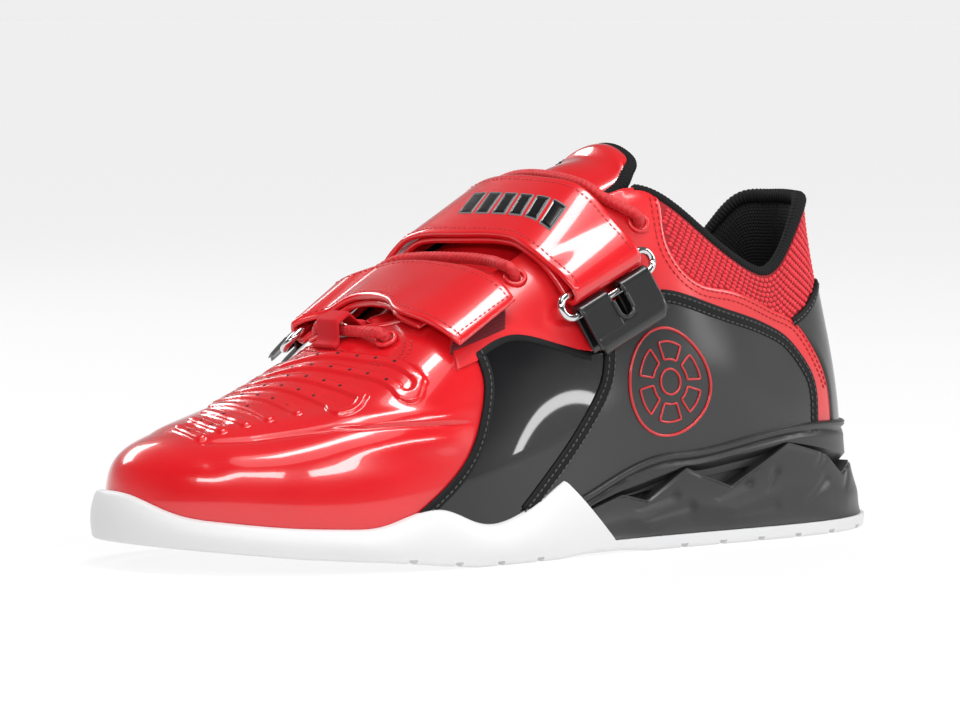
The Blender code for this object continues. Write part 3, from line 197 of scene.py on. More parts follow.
def spline_weights(knots, values, moments, at):
    """Cubic pieces between the knots, from the second derivatives at them."""
    piece = np.clip(np.searchsorted(knots, at, side="right") - 1, 0, len(knots) - 2)
    before = (at - knots[piece])[..., None]
    after = (knots[piece + 1] - at)[..., None]
    span = (knots[piece + 1] - knots[piece])[..., None]
    bend = (moments[piece] * after**3 + moments[piece + 1] * before**3) / (6 * span)
    start = (values[piece] / span - moments[piece] * span / 6) * after
    end = (values[piece + 1] / span - moments[piece + 1] * span / 6) * before
    return bend + start + end


def closed_spline(knots, values, at):
    """Smooth closed curve: the knots run from 0 to 1 and the last row repeats the first."""
    count = len(knots) - 1
    span = np.diff(knots)
    slope = np.diff(values, axis=0) / span[:, None]
    matrix = np.zeros((count, count))
    side = np.zeros((count, values.shape[1]))
    for row in range(count):
        before = (row - 1) % count
        matrix[row, before] += span[before]
        matrix[row, row] += 2 * (span[before] + span[row])
        matrix[row, (row + 1) % count] += span[row]
        side[row] = 6 * (slope[row] - slope[before])
    moments = np.linalg.solve(matrix, side)
    moments = np.vstack([moments, moments[:1]])
    return spline_weights(knots, values, moments, np.mod(np.asarray(at, float), 1.0))


def open_spline(knots, values, at):
    """Smooth open curve with straight ends."""
    knots = np.asarray(knots, float)
    values = np.asarray(values, float)
    flat = values.ndim == 1
    if flat:
        values = values[:, None]
    count = len(knots)
    span = np.diff(knots)
    slope = np.diff(values, axis=0) / span[:, None]
    matrix = np.eye(count)
    side = np.zeros((count, values.shape[1]))
    for row in range(1, count - 1):
        matrix[row, row - 1] = span[row - 1]
        matrix[row, row] = 2 * (span[row - 1] + span[row])
        matrix[row, row + 1] = span[row]
        side[row] = 6 * (slope[row] - slope[row - 1])
    moments = np.linalg.solve(matrix, side)
    result = spline_weights(knots, values, moments, np.clip(at, knots[0], knots[-1]))
    return result[..., 0] if flat else result


def column(rows, place, scale=1.0):
    return [row[place] * scale for row in rows]


def straight(rows, at, wide=1.0, tall=1.0):
    """Straight lines through (place, value) rows."""
    return np.interp(at, column(rows, 0, wide), column(rows, 1, tall))


def mirrored(rows):
    return list(rows) + [(1.0 - place, value) for place, value in rows[-2::-1]]


def step(low, high, at):
    share = np.clip((at - low) / (high - low), 0, 1)
    return share * share * (3 - 2 * share)


def unit(vectors):
    return vectors / np.maximum(np.linalg.norm(vectors, axis=-1, keepdims=True), 1e-12)


def lengths_along(points):
    """Distance of each point from the first, along the line."""
    return np.concatenate([[0.0], np.cumsum(np.linalg.norm(np.diff(points, axis=0), axis=1))])


def read_rows(at, places, rows):
    """Each column of the rows, read between their places."""
    return np.stack([np.interp(at, places, rows[:, axis]) for axis in range(rows.shape[1])], axis=1)


def full_turn(count):
    return np.arange(count) * 2 * math.pi / count


def place_grid(around, up):
    return np.stack(np.meshgrid(around, up), axis=-1)


# The last

def both_sides(lateral, medial):
    return np.array(list(lateral) + list(medial[-2:0:-1]) + [lateral[0]], float)


def station_knots():
    places = np.array([(along * LENGTH, (lateral + medial) / 2 * BALL_WIDTH)
                       for along, lateral, medial in OUTLINE])
    steps = np.linalg.norm(np.diff(places, axis=0), axis=1)
    steps = np.concatenate([steps, steps[::-1]])
    return np.concatenate([[0.0], np.cumsum(steps)]) / steps.sum()


def wall_rows():
    sides = ([], [])
    for top, wall in zip(TOP_LINE, SIDE_WALL):
        along, out_lateral, out_medial, high_lateral, high_medial = top
        inset, rise, lean, reach, fall_lateral, fall_medial, sag = wall
        lengths = (rise * COLLAR_HEIGHT, lean, reach * COLLAR_HEIGHT, sag * COLLAR_HEIGHT)
        for rows, out, high, fall in ((sides[0], out_lateral, high_lateral, fall_lateral),
                                      (sides[1], -out_medial, high_medial, fall_medial)):
            rows.append((inset * BALL_WIDTH, along * LENGTH, out * COLLAR_WIDTH, high * COLLAR_HEIGHT)
                        + lengths + (fall,))
    return both_sides(*sides)


KNOTS = station_knots()
OUTLINE_ROWS = both_sides([(along * LENGTH, wide * BALL_WIDTH) for along, wide, _ in OUTLINE],
                          [(along * LENGTH, -wide * BALL_WIDTH) for along, _, wide in OUTLINE])
WALL_ROWS = wall_rows()
UP = np.array([0.0, 0.0, 1.0])


def outline(around):
    return closed_spline(KNOTS, OUTLINE_ROWS, around)


def outward(around):
    """Level direction away from the foot, square to the outline."""
    travel = outline(np.asarray(around) + 0.0005) - outline(np.asarray(around) - 0.0005)
    return unit(np.stack([-travel[..., 1], travel[..., 0]], axis=-1))


def level(vectors):
    return np.concatenate([vectors, np.zeros(vectors.shape[:-1] + (1,))], axis=-1)


def bed_height(along):
    return open_spline(column(BED, 0, LENGTH), column(BED, 1, HEEL_BED), along)


def ground_height(along):
    return straight(GROUND, along, LENGTH, TOE_SPRING)


def skin_point(around, up):
    """Outer face of the upper."""
    around, up = np.broadcast_arrays(np.asarray(around, float), np.asarray(up, float))
    values = closed_spline(KNOTS, WALL_ROWS, around)
    inset, along, side, high, rise, lean, reach, sag, fall = [values[..., place] for place in range(9)]
    normal = outward(around)
    flat = outline(around) - normal * inset[..., None]
    foot = np.concatenate([flat, (bed_height(flat[..., 0]) + CLEARANCE)[..., None]], axis=-1)
    top = np.stack([along, side, high], axis=-1)
    lean = np.radians(lean)[..., None]
    fall = np.radians(fall)[..., None]
    low_handle = foot + (UP * np.cos(lean) + level(normal) * np.sin(lean)) * rise[..., None]
    spread = unit(level((foot - top)[..., :2]))
    top_handle = top + (spread * np.cos(fall) - UP * np.sin(fall)) * reach[..., None]
    t = up[..., None]
    s = 1 - t
    wall = foot * s**3 + low_handle * 3 * t * s**2 + top_handle * 3 * t**2 * s + top * t**3
    return wall - UP * (6 * t**2 * s**2) * sag[..., None]


NEAR = 0.001


def way_round(around, up):
    return skin_point(around + NEAR, up) - skin_point(around - NEAR, up)


def way_up(around, up):
    return skin_point(around, np.minimum(up + NEAR, 1)) - skin_point(around, np.maximum(up - NEAR, 0))


def skin_normal(around, up):
    around, up = np.broadcast_arrays(np.asarray(around, float), np.asarray(up, float))
    return unit(np.cross(way_up(around, up), way_round(around, up)))


def skin(around, up, lift=0.0):
    point = skin_point(around, up)
    if np.isscalar(lift) and lift == 0.0:
        return point
    return point + skin_normal(around, up) * np.asarray(lift)[..., None]


def up_at_height(around, height):
    around, height = np.broadcast_arrays(np.asarray(around, float), np.asarray(height, float))
    low = np.zeros(around.shape)
    high = np.full(around.shape, 0.8)
    for _ in range(20):
        middle = (low + high) / 2
        below = skin_point(around, middle)[..., 2] < height
        low = np.where(below, middle, low)
        high = np.where(below, high, middle)
    return (low + high) / 2


# The instep: the side walls bridged across the throat

GIRTH_COUNT = 181
GIRTH_AROUND = np.linspace(0.15, 0.47, 65)
GIRTH_ACROSS = np.linspace(-0.72, 0.72, GIRTH_COUNT) * BALL_WIDTH
CROWN = 0.55


def girth_line(around):
    up = np.linspace(0.15, 1.0, 90)
    lateral = skin_point(np.full_like(up, around), up)
    medial = skin_point(np.full_like(up, 1 - around), up)
    reach = np.linalg.norm(lateral[-1] - medial[-1]) * CROWN / 2
    start_handle = lateral[-1] + unit(lateral[-1] - lateral[-2]) * reach
    end_handle = medial[-1] + unit(medial[-1] - medial[-2]) * reach
    t = np.linspace(0, 1, 42)[1:-1, None]
    s = 1 - t
    bridge = lateral[-1] * s**3 + start_handle * 3 * t * s**2 + end_handle * 3 * t**2 * s + medial[-1] * t**3
    line = np.vstack([lateral, bridge, medial[::-1]])
    distance = lengths_along(line)
    middle = np.interp(0.0, -line[:, 1], distance)
    across = (middle - distance)[::-1]
    return read_rows(GIRTH_ACROSS, across, line[::-1])


def instep_grid():
    points = np.array([girth_line(around) for around in GIRTH_AROUND])
    normals = unit(np.cross(np.gradient(points, axis=1), np.gradient(points, axis=0)))
    if normals[len(points) // 2, GIRTH_COUNT // 2, 2] < 0:
        normals = -normals
    return points, normals


INSTEP_POINTS, INSTEP_NORMALS = instep_grid()


def read_grid(grid, around, across):
    row = np.interp(around, GIRTH_AROUND, np.arange(len(GIRTH_AROUND)))
    place = np.interp(across, GIRTH_ACROSS, np.arange(GIRTH_COUNT))
    low_row = np.minimum(row.astype(int), len(GIRTH_AROUND) - 2)
    low_place = np.minimum(place.astype(int), GIRTH_COUNT - 2)
    down = (row - low_row)[..., None]
    right = (place - low_place)[..., None]
    near = grid[low_row, low_place] * (1 - right) + grid[low_row, low_place + 1] * right
    far = grid[low_row + 1, low_place] * (1 - right) + grid[low_row + 1, low_place + 1] * right
    return near * (1 - down) + far * down


def instep(around, across, lift=0.0):
    around, across, lift = np.broadcast_arrays(np.asarray(around, float), np.asarray(across, float),
                                               np.asarray(lift, float))
    normal = unit(read_grid(INSTEP_NORMALS, around, across))
    return read_grid(INSTEP_POINTS, around, across) + normal * lift[..., None]


def throat_edges(around):
    """Where the throat's medial and lateral edges lie across."""
    line = instep(around, GIRTH_ACROSS)
    return [GIRTH_ACROSS[np.argmin(np.linalg.norm(line - skin_point(place, 1.0), axis=1))]
            for place in (1 - around, around)]


# The row frame lies a level shift away from the last's own frame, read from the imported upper
CAD_COLUMNS = 72
CAD_ROWS = 10
CAD_GRID = skin_point((np.arange(CAD_COLUMNS) / CAD_COLUMNS)[None, :], np.linspace(0, 1, CAD_ROWS)[:, None])
SHIFT = np.array(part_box("upper")[0]) - CAD_GRID.reshape(-1, 3).min(axis=0)


# Node trees and finishes

def feed(tree, node, inputs):
    """Gives each input a value, or the socket that drives it."""
    for label, value in dict(inputs).items():
        if isinstance(value, bpy.types.NodeSocket):
            tree.links.new(value, node.inputs[label])
        else:
            node.inputs[label].default_value = value
    return node


def add_node(tree, kind, inputs=(), **settings):
    node = tree.nodes.new(kind)
    for label, value in settings.items():
        setattr(node, label, value)
    return feed(tree, node, inputs)


def node_group(name, inputs, outputs):
    tree = bpy.data.node_groups.new(name, "ShaderNodeTree")
    for label, default in inputs.items():
        socket = tree.interface.new_socket(label, in_out="INPUT", socket_type="NodeSocketFloat")
        socket.default_value = default
    for label in outputs:
        tree.interface.new_socket(label, in_out="OUTPUT", socket_type="NodeSocketFloat")
    return tree, tree.nodes.new("NodeGroupInput").outputs, tree.nodes.new("NodeGroupOutput").inputs


def math_node(tree, operation, first, second=None, clamp=False):
    inputs = {0: first} if second is None else {0: first, 1: second}
    return add_node(tree, "ShaderNodeMath", inputs, operation=operation, use_clamp=clamp).outputs[0]


def grain_group():
    """Leather's fine pebbling and slow waves, as one height."""
    tree, given, made = node_group("leather_grain", {"Pebble": 2600.0, "Wave": 60.0, "Share": 0.5},
                                   ["Height", "Cloud"])
    place = tree.nodes.new("ShaderNodeTexCoord").outputs["Object"]
    pebble = add_node(tree, "ShaderNodeTexVoronoi", {"Vector": place, "Scale": given["Pebble"]},
                      feature="SMOOTH_F1")
    wave = add_node(tree, "ShaderNodeTexNoise", {"Vector": place, "Scale": given["Wave"], "Detail": 3.0})
    fine = math_node(tree, "MULTIPLY", pebble.outputs["Distance"], given["Share"])
    tree.links.new(math_node(tree, "ADD", fine, wave.outputs["Fac"]), made["Height"])
    tree.links.new(wave.outputs["Fac"], made["Cloud"])
    return tree


LOOP_FALL = 3.6


def cloth_group():
    """Knitted loops in rows, from the piece's own map in millimetres."""
    tree, given, made = node_group("knit_rows", {"Column": 1.5, "Row": 1.2}, ["Height"])
    lay = add_node(tree, "ShaderNodeUVMap", uv_map="lay")
    split = add_node(tree, "ShaderNodeSeparateXYZ", {0: lay.outputs[0]})
    columns = math_node(tree, "DIVIDE", split.outputs["X"], given["Column"])
    rows = math_node(tree, "DIVIDE", split.outputs["Y"], given["Row"])
    half_steps = math_node(tree, "MULTIPLY", math_node(tree, "FLOOR", rows), 0.5)
    squares = []
    for turns in (math_node(tree, "ADD", columns, half_steps), rows):
        away = math_node(tree, "SUBTRACT", math_node(tree, "FRACT", turns), 0.5)
        squares.append(math_node(tree, "MULTIPLY", away, away))
    fall = math_node(tree, "MULTIPLY", math_node(tree, "ADD", *squares), LOOP_FALL)
    tree.links.new(math_node(tree, "SUBTRACT", 1.0, fall, clamp=True), made["Height"])
    return tree


def wear_group():
    """Faint scuffs as a mask from 0 to 1."""
    tree, given, made = node_group("light_wear", {"Scale": 90.0, "Amount": 0.3}, ["Scuff"])
    place = tree.nodes.new("ShaderNodeTexCoord").outputs["Object"]
    stretch = add_node(tree, "ShaderNodeMapping", {"Vector": place, "Scale": (0.35, 1.0, 1.6)})
    scratch = add_node(tree, "ShaderNodeTexNoise",
                       {"Vector": stretch.outputs[0], "Scale": given["Scale"], "Detail": 6.0})
    band = math_node(tree, "SUBTRACT", scratch.outputs["Fac"], 0.55, clamp=True)
    tree.links.new(math_node(tree, "MULTIPLY", band, given["Amount"], clamp=True), made["Scuff"])
    return tree


GRAIN = grain_group()
CLOTH = cloth_group()
WEAR = wear_group()

# Grains: pebbles and waves to the metre, and the pebbles' share of the height
FINE = (2400.0, 45.0, 0.25)
SOFT = (1500.0, 30.0, 0.6)
SHEEN_ROUGHNESS = 0.4


def finish(name, dark, light, rough, coat=0.0, coat_rough=0.05, sheen=0.0, metal=0.0, bump=0.0,
           bump_depth=0.1 * MM, cloth=None, grain=SOFT, scuff=0.0, specular=0.5):
    """A material whose colour, roughness and height come from the shared groups; on a knit the colour darkens
    in the hollows between loops as painted shade.
    """
    made = bpy.data.materials.new(name)
    made.use_nodes = True
    tree = made.node_tree
    if cloth:
        pattern = add_node(tree, "ShaderNodeGroup", node_tree=CLOTH)
        feed(tree, pattern, zip(("Column", "Row"), cloth))
    else:
        pattern = add_node(tree, "ShaderNodeGroup", node_tree=GRAIN)
        feed(tree, pattern, zip(("Pebble", "Wave", "Share"), grain))
    # On a knit the colour follows the loops' height, so the hollows carry painted shade; on leather it
    # follows the slow cloud as a random tone
    mask = pattern.outputs["Height" if cloth else "Cloud"]
    wear = feed(tree, add_node(tree, "ShaderNodeGroup", node_tree=WEAR), {"Amount": scuff})
    tone = add_node(tree, "ShaderNodeMix", {"Factor": mask, "A": (*dark, 1.0), "B": (*light, 1.0)},
                    data_type="RGBA")
    level_here = add_node(tree, "ShaderNodeMapRange", {"Value": mask, "To Min": rough[0], "To Max": rough[1]})
    shader = feed(tree, tree.nodes["Principled BSDF"], {
        "Metallic": metal, "Coat Weight": coat, "Coat Roughness": coat_rough, "Sheen Weight": sheen,
        "Sheen Roughness": SHEEN_ROUGHNESS, "Specular IOR Level": specular,
        "Base Color": tone.outputs["Result"],
        "Roughness": math_node(tree, "ADD", level_here.outputs[0], wear.outputs["Scuff"])})
    if bump:
        relief = add_node(tree, "ShaderNodeBump", {
            "Strength": bump, "Distance": bump_depth, "Height": pattern.outputs["Height"]})
        tree.links.new(relief.outputs[0], shader.inputs["Normal"])
    return made


RED = (0.76, 0.010, 0.016)
RED_DEEP = (0.66, 0.007, 0.012)

# Columns: darker colour, lighter colour, lowest and highest roughness, and what else the finish has
FINISHES = {
    "red_patent": (RED_DEEP, RED, (0.20, 0.26),
                   dict(coat=1.0, coat_rough=0.035, bump=0.12, grain=FINE, scuff=0.15)),
    "red_satin": (RED_DEEP, RED, (0.34, 0.42), dict(coat=0.55, coat_rough=0.16, bump=0.2, scuff=0.2)),
    "red_strap": (RED_DEEP, RED, (0.22, 0.28),
                  dict(coat=1.0, coat_rough=0.04, bump=0.15, grain=FINE, scuff=0.15)),
    "red_webbing": ((0.46, 0.006, 0.012), (0.64, 0.012, 0.020), (0.65, 0.75), dict(specular=0.25, bump=0.4)),
    "red_knit": ((0.58, 0.006, 0.016), (0.84, 0.014, 0.036), (0.45, 0.6),
                 dict(sheen=0.25, bump=0.3, grain=(3000.0, 400.0, 0.5))),
    "red_knit_ground": ((0.26, 0.002, 0.008), (0.40, 0.004, 0.012), (0.7, 0.8), dict(bump=0.4)),
    "red_cord": ((0.46, 0.006, 0.01), (0.74, 0.02, 0.028), (0.5, 0.6),
                 dict(sheen=0.2, bump=0.3, grain=(3000.0, 500.0, 0.5))),
    "red_thread": ((0.38, 0.004, 0.01), (0.55, 0.01, 0.02), (0.45, 0.55), {}),
    "red_loop": ((0.06, 0.001, 0.004), (0.20, 0.002, 0.01), (0.85, 0.95),
                 dict(sheen=0.4, bump=0.8, grain=(1800.0, 900.0, 0.6))),
    "black_patent": ((0.002, 0.002, 0.003), (0.004, 0.004, 0.005), (0.22, 0.28),
                     dict(specular=0.2, coat=1.0, coat_rough=0.03, bump=0.12, grain=FINE, scuff=0.15)),
    "black_coated": ((0.006, 0.006, 0.007), (0.011, 0.011, 0.012), (0.36, 0.42),
                     dict(specular=0.3, coat=0.8, coat_rough=0.16, bump=0.2, scuff=0.2)),
    "black_trim": ((0.003, 0.003, 0.0035), (0.008, 0.008, 0.009), (0.5, 0.6), dict(specular=0.2, bump=0.5)),
    "black_thread": ((0.03, 0.03, 0.032), (0.07, 0.07, 0.072), (0.4, 0.5), {}),
    # Its darker colour lies in the hollows between the knit's loops, as painted shade
    "black_knit": ((0.002, 0.002, 0.0025), (0.014, 0.014, 0.015), (0.7, 0.85),
                   dict(specular=0.2, bump=0.8, bump_depth=0.35 * MM, cloth=(1.9, 1.5))),
    "black_ribbing": ((0.003, 0.003, 0.0035), (0.009, 0.009, 0.010), (0.65, 0.8),
                      dict(specular=0.2, bump=0.4, grain=(2600.0, 300.0, 0.5))),
    "black_rubber": ((0.009, 0.009, 0.010), (0.015, 0.015, 0.016), (0.38, 0.46),
                     dict(coat=0.3, coat_rough=0.3, bump=0.25, scuff=0.4)),
    "white_rubber": ((0.70, 0.70, 0.71), (0.75, 0.75, 0.755), (0.42, 0.5), dict(bump=0.12, scuff=0.3)),
    # Its darker colour lies in the hollows of the weave, as painted shade
    "insole_cloth": ((0.006, 0.006, 0.007), (0.02, 0.02, 0.022), (0.8, 0.9),
                     dict(bump=0.6, bump_depth=0.2 * MM, cloth=(1.2, 1.2))),
    "chrome": ((0.70, 0.70, 0.71), (0.78, 0.78, 0.79), (0.07, 0.13), dict(metal=1.0, bump=0.05, scuff=0.2)),
    # Painted shade: near-black red of the flat dots that stand for the vamp's holes
    "painted_hole_shade": ((0.02, 0.001, 0.002), (0.03, 0.002, 0.003), (0.8, 0.9), {}),
    "badge_red": ((0.50, 0.008, 0.012), (0.64, 0.02, 0.024), (0.3, 0.36), dict(coat=0.4, coat_rough=0.1)),
    "badge_grey": ((0.16, 0.16, 0.17), (0.24, 0.24, 0.25), (0.35, 0.4), {}),
}
MATERIALS = {name: finish(name, *row[:3], **row[3]) for name, row in FINISHES.items()}


# Meshes

def add_object(name, data):
    thing = bpy.data.objects.new(name, data)
    bpy.context.scene.collection.objects.link(thing)
    return thing


def make_piece(name, points, faces, material, lay=None):
    """A finished piece in the row frame; lay gives each point's place on the cloth in millimetres."""
    mesh = bpy.data.meshes.new(name)
    mesh.from_pydata((np.asarray(points, float) + SHIFT).tolist(), [], faces)
    if lay is not None:
        layer = mesh.uv_layers.new(name="lay")
        corners = np.zeros(len(mesh.loops), dtype=np.int32)
        mesh.loops.foreach_get("vertex_index", corners)
        layer.data.foreach_set("uv", np.asarray(lay, np.float32)[corners].ravel())
    work = bmesh.new()
    work.from_mesh(mesh)
    bmesh.ops.recalc_face_normals(work, faces=work.faces)
    work.to_mesh(mesh)
    work.free()
    mesh.materials.append(MATERIALS[material])
    mesh.shade_smooth()
    return add_object(name, mesh)


def settle(thing, slot, *nodes):
    """Hangs a piece on the root body and hides the solids that it stands for; slot, the finish for the
    record, is not used.
    """
    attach(thing, "root")
    if nodes:
        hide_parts(*nodes)


def strip_faces(rows, columns, start=0, wrap=False):
    """Quads between neighbouring rows of a grid of points."""
    place = np.arange(columns if wrap else columns - 1)
    first = start + np.arange(rows - 1)[:, None] * columns + place
    following = first - place + (place + 1) % columns
    quads = np.stack([first, following, following + columns, first + columns], axis=-1)
    return quads.reshape(-1, 4).tolist()


def border_of(rows, columns):
    """Indices round the edge of a grid, each once."""
    border = list(range(columns))
    border += [row * columns + columns - 1 for row in range(1, rows)]
    border += [(rows - 1) * columns + place for place in range(columns - 2, -1, -1)]
    border += [row * columns for row in range(rows - 2, 0, -1)]
    return border


BACK_RATIO = 4


def backed_sheet(name, outer, inner, material, lay=None):
    """Closed sheet whose hidden face is four times coarser than the one that shows."""
    rows, columns = outer.shape[:2]
    back = inner[::BACK_RATIO, ::BACK_RATIO]
    back_rows, back_columns = back.shape[:2]
    count = rows * columns
    faces = strip_faces(rows, columns) + strip_faces(back_rows, back_columns, count)
    fine = border_of(rows, columns)
    coarse = [count + place for place in border_of(back_rows, back_columns)]
    half = BACK_RATIO // 2
    for place, here in enumerate(coarse):
        following = coarse[(place + 1) % len(coarse)]
        run = [fine[(place * BACK_RATIO + shift) % len(fine)] for shift in range(BACK_RATIO + 1)]
        faces += [(run[shift], run[shift + 1], here) for shift in range(half)]
        faces.append((run[half], following, here))
        faces += [(run[shift], run[shift + 1], following) for shift in range(half, BACK_RATIO)]
    points = np.concatenate([outer.reshape(-1, 3), back.reshape(-1, 3)])
    if lay is not None:
        lay = np.concatenate([lay.reshape(-1, 2), lay[::BACK_RATIO, ::BACK_RATIO].reshape(-1, 2)])
    return make_piece(name, points, faces, material, lay)


def ring_stack(name, rings, material, lay=None, torus=False):
    """Body through rings of points, closed on itself or capped by a fan at both ends."""
    rings = np.asarray(rings, float)
    count, columns = rings.shape[:2]
    faces = strip_faces(count, columns, wrap=True)
    points = rings.reshape(-1, 3)
    if torus:
        last = (count - 1) * columns
        faces += [(last + place, last + (place + 1) % columns, (place + 1) % columns, place)
                  for place in range(columns)]
    else:
        for start in (0, (count - 1) * columns):
            middle = len(points)
            points = np.vstack([points, points[start:start + columns].mean(axis=0)])
            faces += [(start + place, start + (place + 1) % columns, middle) for place in range(columns)]
    if lay is not None:
        lay = lay.reshape(-1, 2)
        lay = np.vstack([lay, np.zeros((len(points) - len(lay), 2))])
    return make_piece(name, points, faces, material, lay)


def skin_sheet(name, grid, outer_lift, inner_lift, material):
    """Closed sheet over a grid of (around, up) places, between two lifts off the skin."""
    around, up = grid[..., 0], grid[..., 1]
    return backed_sheet(name, skin(around, up, outer_lift), skin(around, up, inner_lift), material)


def tube(name, path, normals, radii, material, sides=12, closed=False):
    """Bar along a path; radii gives each ring's radius at each side, or one radius."""
    path = np.asarray(path)
    travel = np.roll(path, -1, axis=0) - np.roll(path, 1, axis=0) if closed else np.gradient(path, axis=0)
    travel = unit(travel)
    across = unit(np.cross(travel, normals))
    above = np.cross(across, travel)
    turn = full_turn(sides)
    circle = across[:, None] * np.cos(turn)[None, :, None] + above[:, None] * np.sin(turn)[None, :, None]
    radii = np.broadcast_to(radii, (len(path), sides))[..., None]
    rings = path[:, None] + circle * radii
    lay = np.stack(np.broadcast_arrays(lengths_along(path)[:, None] / MM, turn[None, :] * 2), axis=-1)
    if closed:
        return ring_stack(name, rings, material, lay, torus=True)
    ends = [path[:1, None] + (rings[:1] - path[:1, None]) * 0.6 - travel[:1, None] * radii[:1] * 0.5,
            path[-1:, None] + (rings[-1:] - path[-1:, None]) * 0.6 + travel[-1:, None] * radii[-1:] * 0.5]
    rings = np.concatenate([ends[0], rings, ends[1]])
    lay = np.concatenate([lay[:1], lay, lay[-1:]])
    return ring_stack(name, rings, material, lay)


def join(name, things):
    """One mesh from several pieces of the same finish."""
    work = bmesh.new()
    for thing in things:
        work.from_mesh(thing.data)
    mesh = bpy.data.meshes.new(name)
    for material in things[0].data.materials:
        mesh.materials.append(material)
    work.to_mesh(mesh)
    work.free()
    for thing in things:
        bpy.data.objects.remove(thing, do_unlink=True)
    mesh.shade_smooth()
    return add_object(name, mesh)


# Repeats, by Geometry Nodes

def repeat_tree(name, follows_path):
    """Small rounded beads on points, or at even steps along edges, turned by each point's own vectors."""
    tree = bpy.data.node_groups.new(name, "GeometryNodeTree")

    def socket(label, kind, side="INPUT"):
        return tree.interface.new_socket(label, in_out=side, socket_type="NodeSocket" + kind).identifier

    def point_vectors(label):
        return add_node(tree, "GeometryNodeInputNamedAttribute", {"Name": label},
                        data_type="FLOAT_VECTOR").outputs["Attribute"]

    socket("Geometry", "Geometry")
    sockets = {label: socket(label, "Float") for label in ("Pitch", "Long", "Wide", "High")}
    sockets["Finish"] = socket("Finish", "Material")
    socket("Geometry", "Geometry", "OUTPUT")
    given = tree.nodes.new("NodeGroupInput").outputs
    made = tree.nodes.new("NodeGroupOutput").inputs
    source = given["Geometry"]
    if follows_path:
        curve = add_node(tree, "GeometryNodeMeshToCurve", {"Mesh": source})
        source = add_node(tree, "GeometryNodeResampleCurve",
                          {"Curve": curve.outputs[0], "Length": given["Pitch"]}, mode="LENGTH").outputs[0]
        way = tree.nodes.new("GeometryNodeInputTangent").outputs[0]
    else:
        way = point_vectors("way")
    bead = add_node(tree, "GeometryNodeMeshUVSphere", {"Segments": 8, "Rings": 5, "Radius": 0.5})
    scale = add_node(tree, "ShaderNodeCombineXYZ",
                     {"X": given["Long"], "Y": given["Wide"], "Z": given["High"]})
    turn = add_node(tree, "FunctionNodeAxesToRotation",
                    {"Primary Axis": point_vectors("out"), "Secondary Axis": way},
                    primary_axis="Z", secondary_axis="X")
    spread = add_node(tree, "GeometryNodeInstanceOnPoints", {
        "Points": source, "Instance": bead.outputs["Mesh"], "Rotation": turn.outputs[0],
        "Scale": scale.outputs[0]})
    real = add_node(tree, "GeometryNodeRealizeInstances", {0: spread.outputs[0]})
    shade = add_node(tree, "GeometryNodeSetShadeSmooth", {0: real.outputs[0]})
    paint = add_node(tree, "GeometryNodeSetMaterial",
                     {"Geometry": shade.outputs[0], "Material": given["Finish"]})
    tree.links.new(paint.outputs[0], made["Geometry"])
    return tree, sockets


SEWING = repeat_tree("sewn_row", True)
BEADING = repeat_tree("beads_on_points", False)


def repeat(name, kind, points, edges, vectors, values):
    """Runs a repeat tree on points or edges and keeps the result as a plain mesh."""
    tree, sockets = kind
    mesh = bpy.data.meshes.new(name + "_guide")
    mesh.from_pydata((np.asarray(points) + SHIFT).tolist(), edges, [])
    for label, rows in vectors.items():
        attribute = mesh.attributes.new(label, "FLOAT_VECTOR", "POINT")
        attribute.data.foreach_set("vector", np.asarray(rows, np.float32).ravel())
    guide = add_object(name + "_guide", mesh)
    modifier = guide.modifiers.new("repeat", "NODES")
    modifier.node_group = tree
    for label, value in values.items():
        modifier[sockets[label]] = value
    shape = evaluated_mesh(guide)
    shape.name = name
    bpy.data.objects.remove(guide, do_unlink=True)
    return add_object(name, shape)


def evaluated_mesh(thing):
    """The piece's shape with its modifiers applied; they are then removed."""
    bpy.context.view_layer.update()
    shape = bpy.data.meshes.new_from_object(thing.evaluated_get(bpy.context.evaluated_depsgraph_get()))
    thing.modifiers.clear()
    return shape


# Stitches. Columns: pitch, length, width and height in millimetres
THROAT_STITCH = (2.0, 1.5, 0.6, 0.45)
PANEL_STITCH = (2.2, 1.7, 0.6, 0.5)
STRAP_STITCH = (2.1, 1.6, 0.6, 0.45)


def sew(name, lines, material, slot, stitch):
    """Stitches along several lines of points with their normals."""
    points, normals, edges = [], [], []
    for line, normal in lines:
        start = len(points)
        points += list(line)
        normals += list(normal)
        edges += [(place, place + 1) for place in range(start, len(points) - 1)]
    values = {label: size * MM for label, size in zip(("Pitch", "Long", "Wide", "High"), stitch)}
    values["Finish"] = MATERIALS[material]
    settle(repeat(name, SEWING, points, edges, {"out": normals}, values), slot)


def beads(name, points, normals, way, size, material, slot):
    """A bead on each point, turned along its own way."""
    values = dict(zip(("Long", "Wide", "High"), size), Pitch=1.0, Finish=MATERIALS[material])
    settle(repeat(name, BEADING, points, [], {"out": normals, "way": way}, values), slot)


# Lines on the last

def fine_rows(rows, count=60):
    """Smooth line through (around, up) places, evenly spaced on the surface."""
    rows = np.asarray(rows, float)
    steps = lengths_along(skin_point(rows[:, 0], rows[:, 1]))
    dense = open_spline(steps / steps[-1], rows, np.linspace(0, 1, 4 * count))
    distance = lengths_along(skin_point(dense[:, 0], dense[:, 1]))
    return read_rows(np.linspace(0, distance[-1], count), distance, dense)


